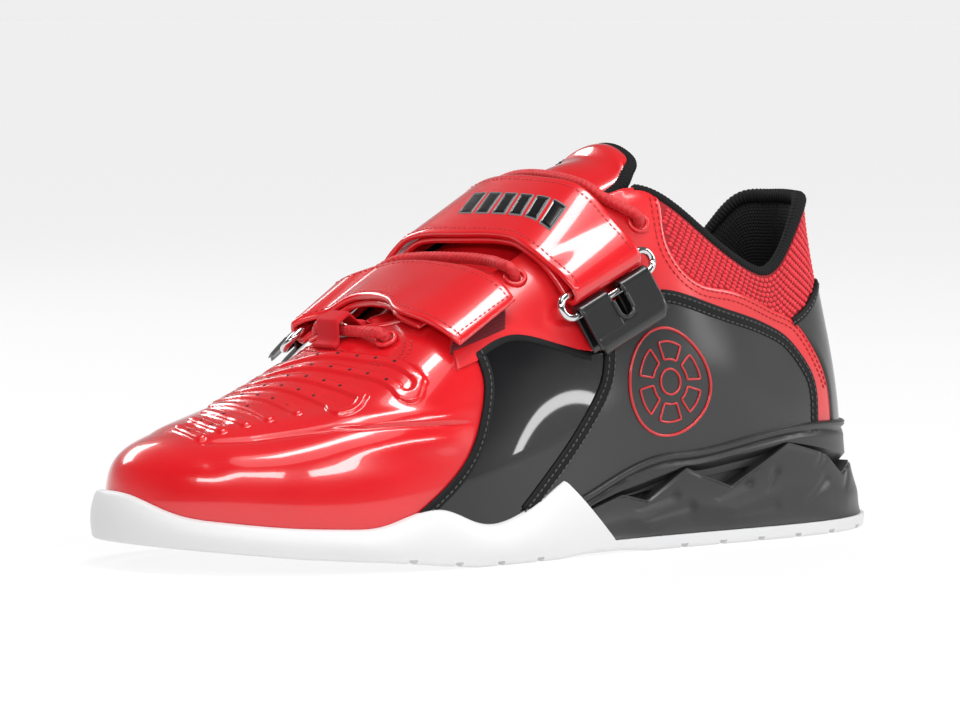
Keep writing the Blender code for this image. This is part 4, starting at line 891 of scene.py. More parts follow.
def shifted(rows, distance):
    """The line moved sideways on the surface, to its left as seen from outside."""
    around, up = rows[:, 0], rows[:, 1]
    travel = unit(np.gradient(skin_point(around, up), axis=0))
    side = np.cross(skin_normal(around, up), travel)
    along = way_round(around, up) / (2 * NEAR)
    rising = way_up(around, up) / (np.minimum(up + NEAR, 1) - np.maximum(up - NEAR, 0))[:, None]
    moved = side * distance
    aa, ar, rr = (np.sum(a * b, axis=1) for a, b in ((along, along), (along, rising), (rising, rising)))
    ma, mr = np.sum(moved * along, axis=1), np.sum(moved * rising, axis=1)
    wide = aa * rr - ar * ar
    shift = np.stack([(ma * rr - mr * ar) / wide, (mr * aa - ma * ar) / wide], axis=1)
    return rows + shift


def to_side(rows, side):
    rows = np.asarray(rows, float)
    if side == "lateral":
        return rows
    return np.stack([1 - rows[..., 0], rows[..., 1]], axis=-1)


def on_skin(rows, lift=0.0):
    """Points and normals at (around, up) places, lifted off the skin."""
    return skin(rows[:, 0], rows[:, 1], lift), skin_normal(rows[:, 0], rows[:, 1])


def seam(rows, side, inset, lift, count=90):
    """A sewn line on a panel: inset is measured from the line of places, outwards where positive."""
    line = shifted(fine_rows(rows, count), inset)
    line[:, 1] = np.clip(line[:, 1], 0.0, 1.0)
    return on_skin(to_side(line, side), lift)


def clustered(count, edge):
    """Shares from 0 to 1 with three more near each end; the number of steps divides by four."""
    inner = np.linspace(edge * 3, 1 - edge * 3, count - 6)
    return np.concatenate([[0, edge * 0.35, edge], inner, [1 - edge, 1 - edge * 0.35, 1]])


def coons(front, rear, top, foot, across, upward):
    """Places between four lines: front and rear rise from the foot, top and foot run from front to rear."""
    s = across[None, :, None]
    t = upward[:, None, None]
    f, r = (read_rows(upward, np.linspace(0, 1, len(line)), line)[:, None] for line in (front, rear))
    u, b = (read_rows(across, np.linspace(0, 1, len(line)), line)[None] for line in (top, foot))
    return (b * (1 - t) + u * t + f * (1 - s) + r * s - foot[0] * (1 - s) * (1 - t)
            - foot[-1] * s * (1 - t) - top[0] * (1 - s) * t - top[-1] * s * t)


EDGE_WIDE = 1.0 * MM
PANEL_BACK = -0.5 * MM


def panel(name, grid, thickness, material, shares, sides=(1, 1, 1, 1)):
    """Leather piece laid on the skin, with a rounded edge where sides says so: front, rear, foot, top."""
    across, upward = shares
    points = skin(grid[..., 0], grid[..., 1], CLEARANCE)
    length = np.linalg.norm(points[:, -1] - points[:, 0], axis=1).mean()
    height = np.linalg.norm(points[-1] - points[0], axis=1).mean()
    gaps = (across[None, :] * length, (1 - across)[None, :] * length,
            upward[:, None] * height, (1 - upward)[:, None] * height)
    far = np.ones(grid.shape[:2])
    for gap, wanted in zip(gaps, sides):
        if wanted:
            far = np.minimum(far, gap / EDGE_WIDE)
    round_edge = np.sqrt(np.clip(1 - (1 - np.clip(far, 0, 1))**2, 0, 1))
    return skin_sheet(name, grid, CLEARANCE * 0.3 + thickness * round_edge, PANEL_BACK, material)


# Camera, light and floor: the photograph's camera, turned and lengthened to frame the one shoe

SENSOR = 36.0
PHOTO_WIDTH = 960
PHOTO_FOCAL = 2722
CAMERA_PLACE = np.array([1124.6, 1360.3, 180.0]) * MM
FRAME_ZOOM = 1.86
SHOE_MIDDLE = np.array([156.0, 3.0, 62.0]) * MM


def build_camera():
    data = bpy.data.cameras.new("camera")
    data.sensor_width = SENSOR
    data.lens = SENSOR * PHOTO_FOCAL / PHOTO_WIDTH * FRAME_ZOOM
    data.clip_end = 50.0
    camera = add_object("camera", data)
    camera.location = CAMERA_PLACE + SHIFT
    camera.rotation_euler = Vector(SHOE_MIDDLE - CAMERA_PLACE).to_track_quat("-Z", "Y").to_euler()
    bpy.context.scene.camera = camera


def area_light(name, place, aim, size, radiance):
    """Soft box of a given brightness that lights and mirrors in the shoe but isn't seen itself."""
    data = bpy.data.lights.new(name, "AREA")
    data.shape = "RECTANGLE"
    data.size, data.size_y = size
    data.energy = radiance * math.pi * size[0] * size[1]
    light = add_object(name, data)
    light.location = place
    light.rotation_euler = (Vector(aim) - Vector(place)).to_track_quat("-Z", "Y").to_euler()
    light.visible_camera = False


FLOOR_REACH = 60.0
FLOOR_SIDES = 64
FLOOR_GLOW = 0.78
FLOOR_COLOUR = (0.18, 0.18, 0.18, 1.0)
DARK_SIDE = (0.63, 0.77, 0.0)
SKY_STOPS = [(0.0, 0.86), (0.50, 0.86), (0.53, 0.86), (0.60, 0.42), (0.75, 0.16), (1.0, 0.12)]

# Soft boxes. Columns: name, place, aim, size, brightness
SOFT_BOXES = [
    ("over", (0.0, 0.25, 1.5), (0.02, 0.0, 0.0), (0.9, 0.30), 12),
    ("toe", (1.25, 0.95, 0.80), (0.05, 0.0, 0.05), (1.2, 0.20), 12),
    ("side", (0.0, 1.45, 0.78), (0.0, 0.0, 0.06), (1.2, 0.15), 14),
    ("strip", (-1.32, 1.22, 0.45), (0.0, 0.0, 0.06), (0.045, 0.75), 12),
    ("heel", (-1.4, 0.7, 0.9), (-0.1, 0.0, 0.05), (0.4, 0.7), 8),
    ("far", (0.2, -1.5, 1.0), (0.0, 0.0, 0.05), (1.0, 0.35), 8),
]
SUN_STRENGTH = 0.7
SUN_SPREAD = 50
SUN_WAY = (-0.2, -0.35, -1.0)


def build_studio():
    """Pale floor without an edge in sight, soft boxes and a sky that is bright near the horizon."""
    points = [(0.0, 0.0, 0.0)] + [(FLOOR_REACH * math.cos(turn), FLOOR_REACH * math.sin(turn), 0.0)
                                  for turn in full_turn(FLOOR_SIDES)]
    mesh = bpy.data.meshes.new("studio_floor")
    mesh.from_pydata(points, [], [(0, 1 + place, 1 + (place + 1) % FLOOR_SIDES)
                                  for place in range(FLOOR_SIDES)])
    paint = bpy.data.materials.new("studio_paint")
    paint.use_nodes = True
    feed(paint.node_tree, paint.node_tree.nodes["Principled BSDF"], {
        "Base Color": FLOOR_COLOUR, "Roughness": 0.75, "Specular IOR Level": 0.2,
        "Emission Color": (1.0, 1.0, 1.0, 1.0), "Emission Strength": FLOOR_GLOW})
    mesh.materials.append(paint)
    add_object("studio_floor", mesh)
    world = bpy.data.worlds.new("studio_sky")
    world.use_nodes = True
    tree = world.node_tree
    way = tree.nodes.new("ShaderNodeTexCoord").outputs["Generated"]
    split = add_node(tree, "ShaderNodeSeparateXYZ", {0: way})
    half = add_node(tree, "ShaderNodeMapRange", {"Value": split.outputs["Z"], "From Min": -1.0})
    ramp = add_node(tree, "ShaderNodeValToRGB", {0: half.outputs[0]})
    stops = ramp.color_ramp.elements
    while len(stops) < len(SKY_STOPS):
        stops.new(0.5)
    for stop, (place, bright) in zip(stops, SKY_STOPS):
        stop.position = place
        stop.color = (bright, bright, bright, 1.0)
    facing = add_node(tree, "ShaderNodeVectorMath", {0: way, 1: DARK_SIDE}, operation="DOT_PRODUCT")
    dim = add_node(tree, "ShaderNodeMapRange", {
        "Value": facing.outputs["Value"], "From Min": -0.2, "From Max": 0.7, "To Min": 1.0, "To Max": 0.14})
    feed(tree, tree.nodes["Background"], {"Color": ramp.outputs[0], "Strength": dim.outputs[0]})
    bpy.context.scene.world = world
    bpy.context.scene.view_settings.view_transform = "Standard"
    for name, place, aim, size, radiance in SOFT_BOXES:
        area_light("soft_box_" + name, place, aim, size, radiance)
    sun = add_object("even_light", bpy.data.lights.new("even_light", "SUN"))
    sun.data.energy = SUN_STRENGTH
    sun.data.angle = math.radians(SUN_SPREAD)
    sun.rotation_euler = Vector(SUN_WAY).to_track_quat("-Z", "Y").to_euler()


# Upper

LEAN_LIMIT = 12 * MM


def finger_line(place, slant, across):
    """How far along the shoe a finger's middle lies, at a distance across."""
    lean = np.where(across > 0, across, np.maximum(across, -LEAN_LIMIT))
    return place * LENGTH - slant * lean + 0.25 * across**2 / BALL_WIDTH * np.sign(slant)


def vamp_relief(around, points):
    """Height added to the vamp: raised fingers, the crease beside them and the soft rolls next to it."""
    along, side, tall = points[..., 0], points[..., 1], points[..., 2]
    across = side - VAMP_MIDDLE
    half = FINGER_WIDTH / 2
    ridge = np.zeros(along.shape)
    for place, slant, reach in FINGERS:
        over = np.maximum(np.abs(across) - (reach * BALL_WIDTH - half), 0)
        gap = np.sqrt((along - finger_line(place, slant, across))**2 + (over * 0.75)**2)
        ridge = np.maximum(ridge, step(half + 0.5 * MM, half - 0.6 * MM, gap))
    for pair in JOINED_FINGERS:
        ends = []
        for place, slant, reach in (FINGERS[number] for number in pair):
            end = reach * BALL_WIDTH - half
            ends.append((finger_line(place, slant, end), end))
        centre = np.mean(ends, axis=0)
        radius = np.linalg.norm(np.subtract(*ends)) / 2
        away = np.sqrt((along - centre[0])**2 + (across - centre[1])**2)
        axis = np.subtract(ends[1], ends[0]) / (2 * radius)
        outer = (along - centre[0]) * -axis[1] + (across - centre[1]) * axis[0]
        gap = np.abs(away - radius) + np.maximum(-outer, 0)
        ridge = np.maximum(ridge, step(half + 0.3 * MM, half - 0.8 * MM, gap))
    below = straight(CREASE, along, LENGTH, COLLAR_HEIGHT) - tall
    start = step(0.93 * LENGTH, 0.90 * LENGTH, along) * step(3 * MM, 9 * MM, np.abs(across))
    start = start * step(0.50, 0.70, 1 - np.abs(around - 0.5) * 2 + 0.15)
    start = start * step(0.312, 0.335, around) * step(0.688, 0.665, around)
    groove = np.exp(-(below / (0.65 * MM))**2) * -1.0 * MM
    roll_low = np.exp(-((below - 4.5 * MM) / (4.6 * MM))**2) * 1.0 * MM
    roll_high = np.exp(-((below + 3.2 * MM) / (2.2 * MM))**2) * 0.65 * MM
    toe_edge = np.exp(-((tall - 33 * MM) / (6 * MM))**2) * 0.25 * MM * step(0.2, 0.0, np.abs(around - 0.5))
    return ridge * FINGER_RISE + (groove + roll_low + roll_high) * start + toe_edge


SHELL_BACK = -1.1 * MM
TURNED_IN = 0.9 * MM


def build_shell():
    """Red base of the upper in two closed pieces that meet under the saddles."""
    around = np.concatenate([np.linspace(0.262, 0.36, 57)[:-1], np.linspace(0.36, 0.64, 333)[:-1],
                             np.linspace(0.64, 0.738, 56)[:-3]])
    up = np.concatenate([np.linspace(0.0, 0.28, 25)[:-1], np.linspace(0.28, 0.985, 161)[:-1],
                         np.linspace(0.985, 1.0, 5)])
    grid = place_grid(around, up)
    base = skin_point(grid[..., 0], grid[..., 1])
    lift = vamp_relief(grid[..., 0], base) * step(1.0, 0.93, grid[..., 1])
    lift = lift - TURNED_IN * step(0.985, 1.0, grid[..., 1])
    settle(skin_sheet("vamp", grid, lift, SHELL_BACK, "red_patent"), "red_leather", "upper")
    grid = place_grid(np.linspace(-0.275, 0.275, 221), np.linspace(0.0, 1.0, 61))
    lift = -TURNED_IN * step(0.985, 1.0, grid[..., 1]) - 0.12 * MM
    settle(skin_sheet("rear_shell", grid, lift, SHELL_BACK, "red_satin"), "red_leather")


HOLE_PITCH = 7.2 * MM
VAMP_HOLE_DOT = (1.3 * MM, 1.3 * MM, 0.12 * MM)


def vamp_hole_shade_dots():
    """Small dark dots along the middle of each finger: painted shade that stands for holes, which are not
    cut.
    """
    grid = place_grid(np.linspace(0.33, 0.67, 341), np.linspace(0.3, 0.95, 260))
    surface = skin_point(grid[..., 0], grid[..., 1])
    places = []
    for row, (place, slant, reach) in enumerate(FINGERS):
        for number in range(-5, 6):
            across = (number + 0.5 * (row % 2)) * HOLE_PITCH
            if abs(across) > reach * BALL_WIDTH - 4 * MM:
                continue
            gap = ((surface[..., 0] - finger_line(place, slant, across))**2
                   + (surface[..., 1] - (across + VAMP_MIDDLE))**2)
            places.append(grid[np.unravel_index(np.argmin(gap), gap.shape)])
    points, normals = on_skin(np.array(places), FINGER_RISE + 0.02 * MM)
    way = unit(np.cross(normals, np.array([0.0, 1.0, 0.3])))
    # The dots carry painted shade in place of real holes
    beads("vamp_hole_shade_dots", points, normals, way, VAMP_HOLE_DOT, "painted_hole_shade", "red_leather")


THROAT_EDGE = [(0.345, 1.0), (0.36, 0.995), (0.385, 0.99), (0.42, 0.985), (0.46, 0.98), (0.50, 0.98),
               (0.54, 0.98), (0.58, 0.985), (0.615, 0.99), (0.64, 0.995), (0.655, 1.0)]
THROAT_SEAM = [(0.367, 0.83), (0.366, 0.775), (0.376, 0.745), (0.395, 0.785), (0.431, 0.850), (0.465, 0.870),
               (0.50, 0.873), (0.535, 0.870), (0.569, 0.850), (0.605, 0.785), (0.624, 0.745), (0.634, 0.775),
               (0.633, 0.83)]


def throat_trim():
    """Turned edge with two sewn rows round the front of the throat."""
    line = fine_rows(THROAT_SEAM, 120)
    lines = [on_skin(shifted(line, -inset), 0.15 * MM) for inset in (0.0, 2.2 * MM)]
    sew("throat_stitches", lines, "red_thread", "red_leather", THROAT_STITCH)
    points, normals = on_skin(fine_rows(THROAT_EDGE, 120), -0.4 * MM)
    settle(tube("throat_edge", points, normals, 1.2 * MM, "red_patent"), "red_leather")


def rim_height(around):
    return open_spline(column(WHITE_RIM, 0), column(WHITE_RIM, 1), np.mod(around, 1.0)) * RIM_HEIGHT


def cup_height(around):
    rows = mirrored(CUP_TOP)
    return open_spline(column(rows, 0), column(rows, 1), np.mod(around, 1.0)) * CUP_HEIGHT


def face_along(height):
    slope = HEEL_FACE_RUN / (RIM_HEIGHT - PLATE_THICKNESS)
    return HEEL_FACE_FOOT + slope * (height - PLATE_THICKNESS)


def sole_edge(around):
    rim = rim_height(around)
    cup = cup_height(around)
    along = outline(around)[..., 0]
    lower = np.where(along > HEEL_FACE_FOOT, np.minimum(cup, rim), cup)
    return np.where(along > face_along(rim), rim, lower)


def panel_foot(around):
    """Places just below the sole's edge, so that the panel's foot is hidden behind it."""
    height = np.min([sole_edge(around + shift) for shift in np.linspace(-0.006, 0.006, 5)], axis=0)
    return np.stack([around, up_at_height(around, height - 2.5 * MM)], axis=1)


def footed(corner, rows):
    """A seam that starts at the panel's corner behind the sole's edge."""
    return fine_rows([tuple(corner)] + list(rows[1:]))


SADDLE_TUCK = 0.006


def build_panels():
    """Black saddle and quarter on both sides, the heel counter and the red collar band."""
    saddle_rear = [(around - SADDLE_TUCK, up) for around, up in QUARTER_FRONT]
    saddle_rear[-1] = (saddle_rear[-1][0], 0.45)
    # Columns: name, front, rear, top, places along the foot, shares each way, thickness, finish, solid, sides
    cuts = (("saddle_patent_", SADDLE_FRONT, saddle_rear, SADDLE_TOP[:-1] + [saddle_rear[-1]], 40,
             (clustered(61, 0.012), clustered(81, 0.006)), 0.9 * MM, "black_patent", "saddle_", (1, 0, 0, 1)),
            ("quarter_panel_", QUARTER_FRONT, QUARTER_REAR, QUARTER_TOP, 80,
             (clustered(101, 0.008), clustered(81, 0.008)), 1.5 * MM, "black_coated", "quarter_",
             (1, 1, 1, 1)))
    band_shares = (clustered(33, 0.04), np.linspace(0, 1, 161))
    upper_line, lower_line = fine_rows(BAND_UPPER, 200), fine_rows(BAND_LOWER, 200)
    foot, top = (read_rows(band_shares[0], [0, 1], np.stack([upper_line[end], lower_line[end]]))
                 for end in (0, -1))
    band = coons(upper_line, lower_line, top, foot, *band_shares)
    for side in ("lateral", "medial"):
        for name, front, rear, top, count, shares, thickness, material, node, sides in cuts:
            foot = panel_foot(np.linspace(front[0][0], rear[0][0], count))
            grid = coons(footed(foot[0], front), footed(foot[-1], rear), fine_rows(top), foot, *shares)
            settle(panel(name + side, to_side(grid, side), thickness, material, shares, sides),
                   "black_leather", node + side)
        settle(panel("collar_band_" + side, to_side(band, side), 0.75 * MM, "red_satin", band_shares,
                     (1, 0, 0, 0)), "red_leather")
    shares = (clustered(81, 0.01), clustered(49, 0.02))
    foot = panel_foot(np.linspace(COUNTER_FRONT[0][0], -COUNTER_FRONT[0][0], 60))
    foot[:, 1] = np.maximum(foot[:, 1], 0.02)
    rear = [(-around, up) for around, up in COUNTER_FRONT]
    grid = coons(footed(foot[0], COUNTER_FRONT), footed(foot[-1], rear), fine_rows(COUNTER_TOP), foot,
                 *shares)
    settle(panel("counter_panel", grid, 1.2 * MM, "black_coated", shares), "black_leather", "heel_counter")


STRIP_SHARES = np.array([0.0, 0.06, 0.16, 0.33, 0.5, 0.67, 0.84, 0.94, 1.0])
STRIP_COUNT = 160
STRIP_DEPTH = 0.6 * MM


def trim_strip(name, rows, side, inset, wide, thickness, lift):
    """Narrow raised strip that follows a line of places; its measures are in millimetres."""
    line = fine_rows(rows, STRIP_COUNT + 1)
    grid = np.stack([shifted(line, inset * MM + wide * MM * at) for at in STRIP_SHARES])
    grid[..., 1] = np.clip(grid[..., 1], 0.0, 1.0)
    crown = np.sqrt(np.clip(1 - (2 * STRIP_SHARES - 1)**4, 0, 1))[:, None]
    from_end = np.minimum(np.arange(STRIP_COUNT + 1), STRIP_COUNT - np.arange(STRIP_COUNT + 1))
    taper = np.minimum(1, from_end / 4)[None, :]
    outer = lift * MM + thickness * MM * crown * taper
    settle(skin_sheet(name, to_side(grid, side), outer, lift * MM - STRIP_DEPTH, "black_trim"),
           "black_leather")


QUARTER_EDGE = QUARTER_TOP[2:] + QUARTER_REAR[-2::-1]

# Sewn hems on both sides. Columns: name, line, then inset, width, thickness and lift in millimetres
HEMS = [
    ("saddle_hem_", SADDLE_FRONT, 0.5, -3.6, 0.55, 0.85), ("saddle_cord_", SADDLE_TOP, 0.5, -2.4, 0.6, 0.85),
    ("quarter_hem_", QUARTER_FRONT, 0.3, -4.4, 0.45, 1.45),
    ("quarter_top_hem_", QUARTER_EDGE, 0.3, -4.6, 0.45, 1.45),
]

# Black sewn rows on both sides. Columns: line, inset and lift in millimetres, places
BLACK_ROWS = [
    (SADDLE_FRONT, 1.6, 1.45, 90), (QUARTER_FRONT, 1.2, 1.95, 90), (QUARTER_EDGE, 1.2, 1.95, 150),
    (QUARTER_FRONT, 3.6, 1.95, 90), (QUARTER_EDGE, 3.6, 1.95, 150),
]


def build_trims():
    """Sewn hems of the black panels and the stitch rows of the whole upper."""
    black_rows, red_rows = [], []
    for side in ("lateral", "medial"):
        for name, rows, *measures in HEMS:
            trim_strip(name + side, rows, side, *measures)
        black_rows += [seam(rows, side, -inset * MM, lift * MM, count)
                       for rows, inset, lift, count in BLACK_ROWS]
        red_rows += [seam(BAND_UPPER[1:12], side, inset * MM, 0.95 * MM, 150) for inset in (1.4, 3.4)]
    black_rows.append(seam(COUNTER_TOP, "lateral", -1.3 * MM, 1.65 * MM))
    sew("black_stitches", black_rows, "black_thread", "black_leather", PANEL_STITCH)
    sew("red_stitches", red_rows, "red_thread", "red_leather", PANEL_STITCH)
    trim_strip("counter_hem", COUNTER_TOP, "lateral", 0.3, -2.9, 0.5, 1.15)


KNIT_COLUMN = 2.5 * MM
KNIT_ROW = 1.75 * MM
KNIT_END = 0.1845
KNIT_LOOP = (2.25 * MM, 1.5 * MM, 1.0 * MM)

# Lower edge of the knit collar
KNIT_FLOOR = [(0.0, 0.655), (0.044, 0.66), (0.068, 0.672), (0.088, 0.70), (0.105, 0.800), (0.123, 0.840),
              (0.145, 0.815), (0.162, 0.755), (0.176, 0.765), (0.1825, 0.83), (KNIT_END, 0.99)]


def knit_floor(around):
    return straight(KNIT_FLOOR, np.abs(around))


def build_knit():
    """Chunky red knit of the collar: a thin ground with raised loops in rows that follow the top line."""
    around = np.linspace(-KNIT_END, KNIT_END, 201)
    share = np.linspace(0, 1, 21)[:, None]
    up = (knit_floor(around) - 0.02) * (1 - share) + 0.998 * share
    grid = np.stack(np.broadcast_arrays(around, up), axis=-1)
    settle(skin_sheet("knit_ground", grid, 0.12 * MM, -0.7 * MM, "red_knit_ground"), "red_leather")
    loops = []
    dense = np.linspace(-0.184, 0.184, 1200)
    per_up = np.linalg.norm(skin_point(dense, 1.0) - skin_point(dense, 0.9), axis=1) / 0.1
    for row in range(40):
        up = 0.985 - (row + 0.6) * KNIT_ROW / per_up
        distance = lengths_along(skin_point(dense, np.maximum(up, 0.3)))
        distance -= distance[len(dense) // 2]
        numbers = np.arange(math.ceil(distance[0] / KNIT_COLUMN), math.floor(distance[-1] / KNIT_COLUMN))
        at = (numbers + 0.5 * (row % 2)) * KNIT_COLUMN
        places, heights = np.interp(at, distance, dense), np.interp(at, distance, up)
        keep = heights > knit_floor(places) + 0.004
        if not keep.any():
            break
        places, heights = places[keep], heights[keep]
        loops.append((skin(places, heights, 0.22 * MM), skin_normal(places, heights),
                      unit(way_round(places, heights))))
    points, normals, ways = (np.vstack(rows) for rows in zip(*loops))
    beads("knit_loops", points, normals, ways, KNIT_LOOP, "red_knit", "red_leather")


# Millimetres round the shoe and up its side, for patterns
ROUND = 700
TALL = 110


def build_lining():
    """Black knit inside of the upper, padded round the ankle and rolled over the heel."""
    around = np.arange(240) / 240
    pad = step(0.19, 0.13, np.minimum(around, 1 - around))
    heights = list(np.linspace(0.0, 0.9, 19)) + [0.95, 0.985]
    rings = [skin(around, up, -1.2 * MM) for up in heights] + [skin(around, 1.0, -0.9 * MM)]
    heights.append(1.0)
    for up in np.linspace(1.0, 0.0, 41):
        swell = pad * 4.2 * MM * np.sin(math.pi * np.clip((1.0 - up) / 0.62, 0, 1))**0.7
        swell = np.where(up < 0.38, 0, swell)
        rings.append(skin(around, up, -(UPPER_WALL * np.clip(0.55 + (1 - up) * 12, 0, 1) + 0.1 * MM + swell)))
        heights.append(2.0 - up)
    lay = np.array([[(place * ROUND, height * TALL) for place in around] for height in heights])
    lining = ring_stack("lining", rings, "black_knit", lay, torus=True)
    settle(lining, "black_knit")


RIB_PITCH = 1.35 * MM
ROLL_RADIUS = 1.9 * MM


def ribs(distance, depth):
    return 1 + depth * np.cos(distance / RIB_PITCH * 2 * math.pi)


def build_binding():
    """Ribbed roll along the collar's top line, thicker over the heel."""
    around = np.linspace(-0.196, 0.196, 1300)
    top = skin(around, 1.0, -UPPER_WALL / 2)
    travel = unit(np.gradient(top, axis=0))
    rising = top - skin(around, 0.99, -UPPER_WALL / 2)
    rising = unit(rising - travel * np.sum(rising * travel, axis=1, keepdims=True))
    swell = 1 + 0.35 * step(0.075, 0.03, np.abs(around))
    radii = (ROLL_RADIUS * ribs(lengths_along(top), 0.045) * swell)[:, None]
    settle(tube("collar_roll", top + rising * (0.9 * MM), rising, radii, "black_ribbing"), "black_knit",
           "collar_binding")


# Tongue

def smooth_grid(grid, rows, columns):
    """The same sheet with more rows and columns on smooth curves."""
    count_rows, count_columns = grid.shape[:2]
    tall = open_spline(np.arange(count_rows), grid.reshape(count_rows, -1),
                       np.linspace(0, count_rows - 1, rows))
    tall = tall.reshape(rows, count_columns, 3).transpose(1, 0, 2).reshape(count_columns, -1)
    wide = open_spline(np.arange(count_columns), tall, np.linspace(0, count_columns - 1, columns))
    return wide.reshape(columns, rows, 3).transpose(1, 0, 2)


TONGUE_FINE = (97, 49)
BINDING_START = 30
BINDING_BLUR = 25


def build_tongue():
    """Padded tongue: patent face, knit back and a ribbed binding round its edge."""
    around = np.array(column(TONGUE, 0))
    half = np.array(column(TONGUE, 1)) * COLLAR_WIDTH
    across = np.linspace(-1, 1, 13)[None, :] * half[:, None] - TONGUE_SHIFT * COLLAR_WIDTH
    edges = np.array([throat_edges(place) for place in around])
    middle = edges.mean(axis=1)[:, None]
    reach = (edges[:, 1] - edges[:, 0])[:, None] / 2 - TONGUE_EDGE
    fill = np.clip(1 - np.abs(across - middle) / reach, 0, 1)
    drop = (UPPER_WALL + 2 * CLEARANCE) * (1 - 0.75 * fill * fill * (3 - 2 * fill))
    places = around[:, None] * np.ones_like(across)
    sheets = []
    for deep in (0.0, TONGUE_THICKNESS):
        base = instep(places, across, -drop - deep)
        last = base[-1]
        core = last[len(last) // 2]
        rows = [base]
        for along, tall, wide in TONGUE_TIP:
            shift = np.array([along * LENGTH, 0.0, tall * COLLAR_HEIGHT])
            rows.append((core + (last - core) * wide / TONGUE[-1][1] + shift)[None])
        sheets.append(smooth_grid(np.concatenate(rows), *TONGUE_FINE))
    outer, inner = sheets
    middle = (outer + inner) / 2
    s = np.linspace(-1, 1, TONGUE_FINE[1])[None, :, None]
    t = np.linspace(0, 1, TONGUE_FINE[0])[:, None, None]
    full = np.clip(1 - s**6, 0, 1)**0.5 * np.clip(1 - np.clip((t - 0.93) / 0.07, 0, 1)**3, 0, 1)**0.5
    out = outer - middle
    crown = 1 + 0.28 * (1 - s**2) * step(0.5, 0.8, t)
    face = middle + out * (0.15 + 0.85 * full * crown)
    face = backed_sheet("tongue_face", face, middle - out * 0.05, "red_patent")
    settle(face, "red_leather", "tongue")
    lay = place_grid(np.linspace(0, 60, TONGUE_FINE[1]), np.linspace(0, 180, TONGUE_FINE[0]))
    back = middle - out * (0.15 + 0.85 * full)
    settle(backed_sheet("tongue_back", back, middle + out * 0.05, "black_knit", lay), "black_knit")
    start = BINDING_START
    rim = np.concatenate([middle[start:, 0], middle[-1, 1:-1], middle[start:, -1][::-1]])
    distance = lengths_along(rim)
    at = np.linspace(0, distance[-1], 900)
    rim = read_rows(at, distance, rim)
    rim = np.vstack([np.repeat(rim[:1], BINDING_BLUR // 2, axis=0), rim,
                     np.repeat(rim[-1:], BINDING_BLUR // 2, axis=0)])
    kernel = np.ones(BINDING_BLUR) / BINDING_BLUR
    rim = np.stack([np.convolve(rim[:, axis], kernel, mode="valid") for axis in range(3)], axis=1)
    radii = (2.3 * MM * ribs(at, 0.05))[:, None]
    settle(tube("tongue_binding", rim, unit((outer - inner)[60, 24]), radii, "black_ribbing"), "black_knit")


# Straps

def strap_edges(rows):
    """Rear and front edge as readers of (across, lift) lines, and where the strap starts and ends across."""
    table = np.array(rows, float)
    middle = (table[:, 1] + table[:, 3]) / 2 * BALL_WIDTH
    first, last = middle[[0, -1]]
    table, middle = table[np.argsort(middle)], np.sort(middle)

    def edge(around_column, across_column):
        offsets = table[:, across_column] * BALL_WIDTH - middle

        def place(line):
            around = open_spline(middle, table[:, around_column], line[:, 0])
            shift = open_spline(middle, offsets, line[:, 0])
            return instep(around, line[:, 0] + shift, line[:, 1])

        return place

    return edge(0, 1), edge(2, 3), first, last


def fold_radius():
    return RING_WIRE / 2 + FOLD_PLAY + STRAP_THICKNESS / 2


def strap_line(free_end, fold):
    """Free end, over the instep to the ring, round its bar and back underneath to the root."""
    toward = math.copysign(1.0, fold - free_end)
    radius = fold_radius()
    bar_lift = STRAP_LIFT + radius
    rest_lift = STRAP_LIFT + STRAP_THICKNESS + CLEARANCE
    upper_part = np.linspace(free_end, fold, 110)
    rise = step(0.0, 1.0, 1 - np.abs(upper_part - fold) / STRAP_RAMP)
    lifts = rest_lift + (bar_lift + radius - rest_lift) * rise
    line = list(zip(upper_part, lifts))
    for turn in np.linspace(0, math.pi, 20)[1:-1]:
        line.append((fold + toward * math.sin(turn) * radius, bar_lift + math.cos(turn) * radius))
    under_part = np.linspace(fold, fold + (free_end - fold) * STRAP_ROOT, 70)
    sewn = step(0.0, 1.0, 1 - np.abs(under_part - under_part[-1]) / STRAP_RAMP)
    seat = 2 * CLEARANCE + STRAP_THICKNESS / 2
    line += list(zip(under_part, STRAP_LIFT + (seat - STRAP_LIFT) * sewn))
    return np.array(line), len(upper_part)


def tab_lift():
    return QUARTER_THICKNESS + 3 * CLEARANCE + TAB_THICKNESS + RING_WIRE / 2


def ring_frame(rear, front, fold, toward):
    """Middle of the ring's inner bar, and its directions: along, away from the strap, out, and its length."""
    here = np.array([[fold, STRAP_LIFT + fold_radius()]])
    beyond = np.array([[fold + toward * RING_WIDTH, tab_lift()]])
    start, end = rear(here)[0], front(here)[0]
    along = unit(end - start)
    middle = (start + end) / 2
    away = (rear(beyond)[0] + front(beyond)[0]) / 2 - middle
    away = unit(away - along * (away @ along))
    out = np.cross(along, away)
    if out @ (middle - np.array([middle[0], 0.0, HEEL_BED])) < 0:
        out = -out
    return middle, along, away, out, np.linalg.norm(end - start)


SECTION = [(0.0, 0.0), (0.004, 0.55), (0.014, 0.88), (0.035, 1.0)]


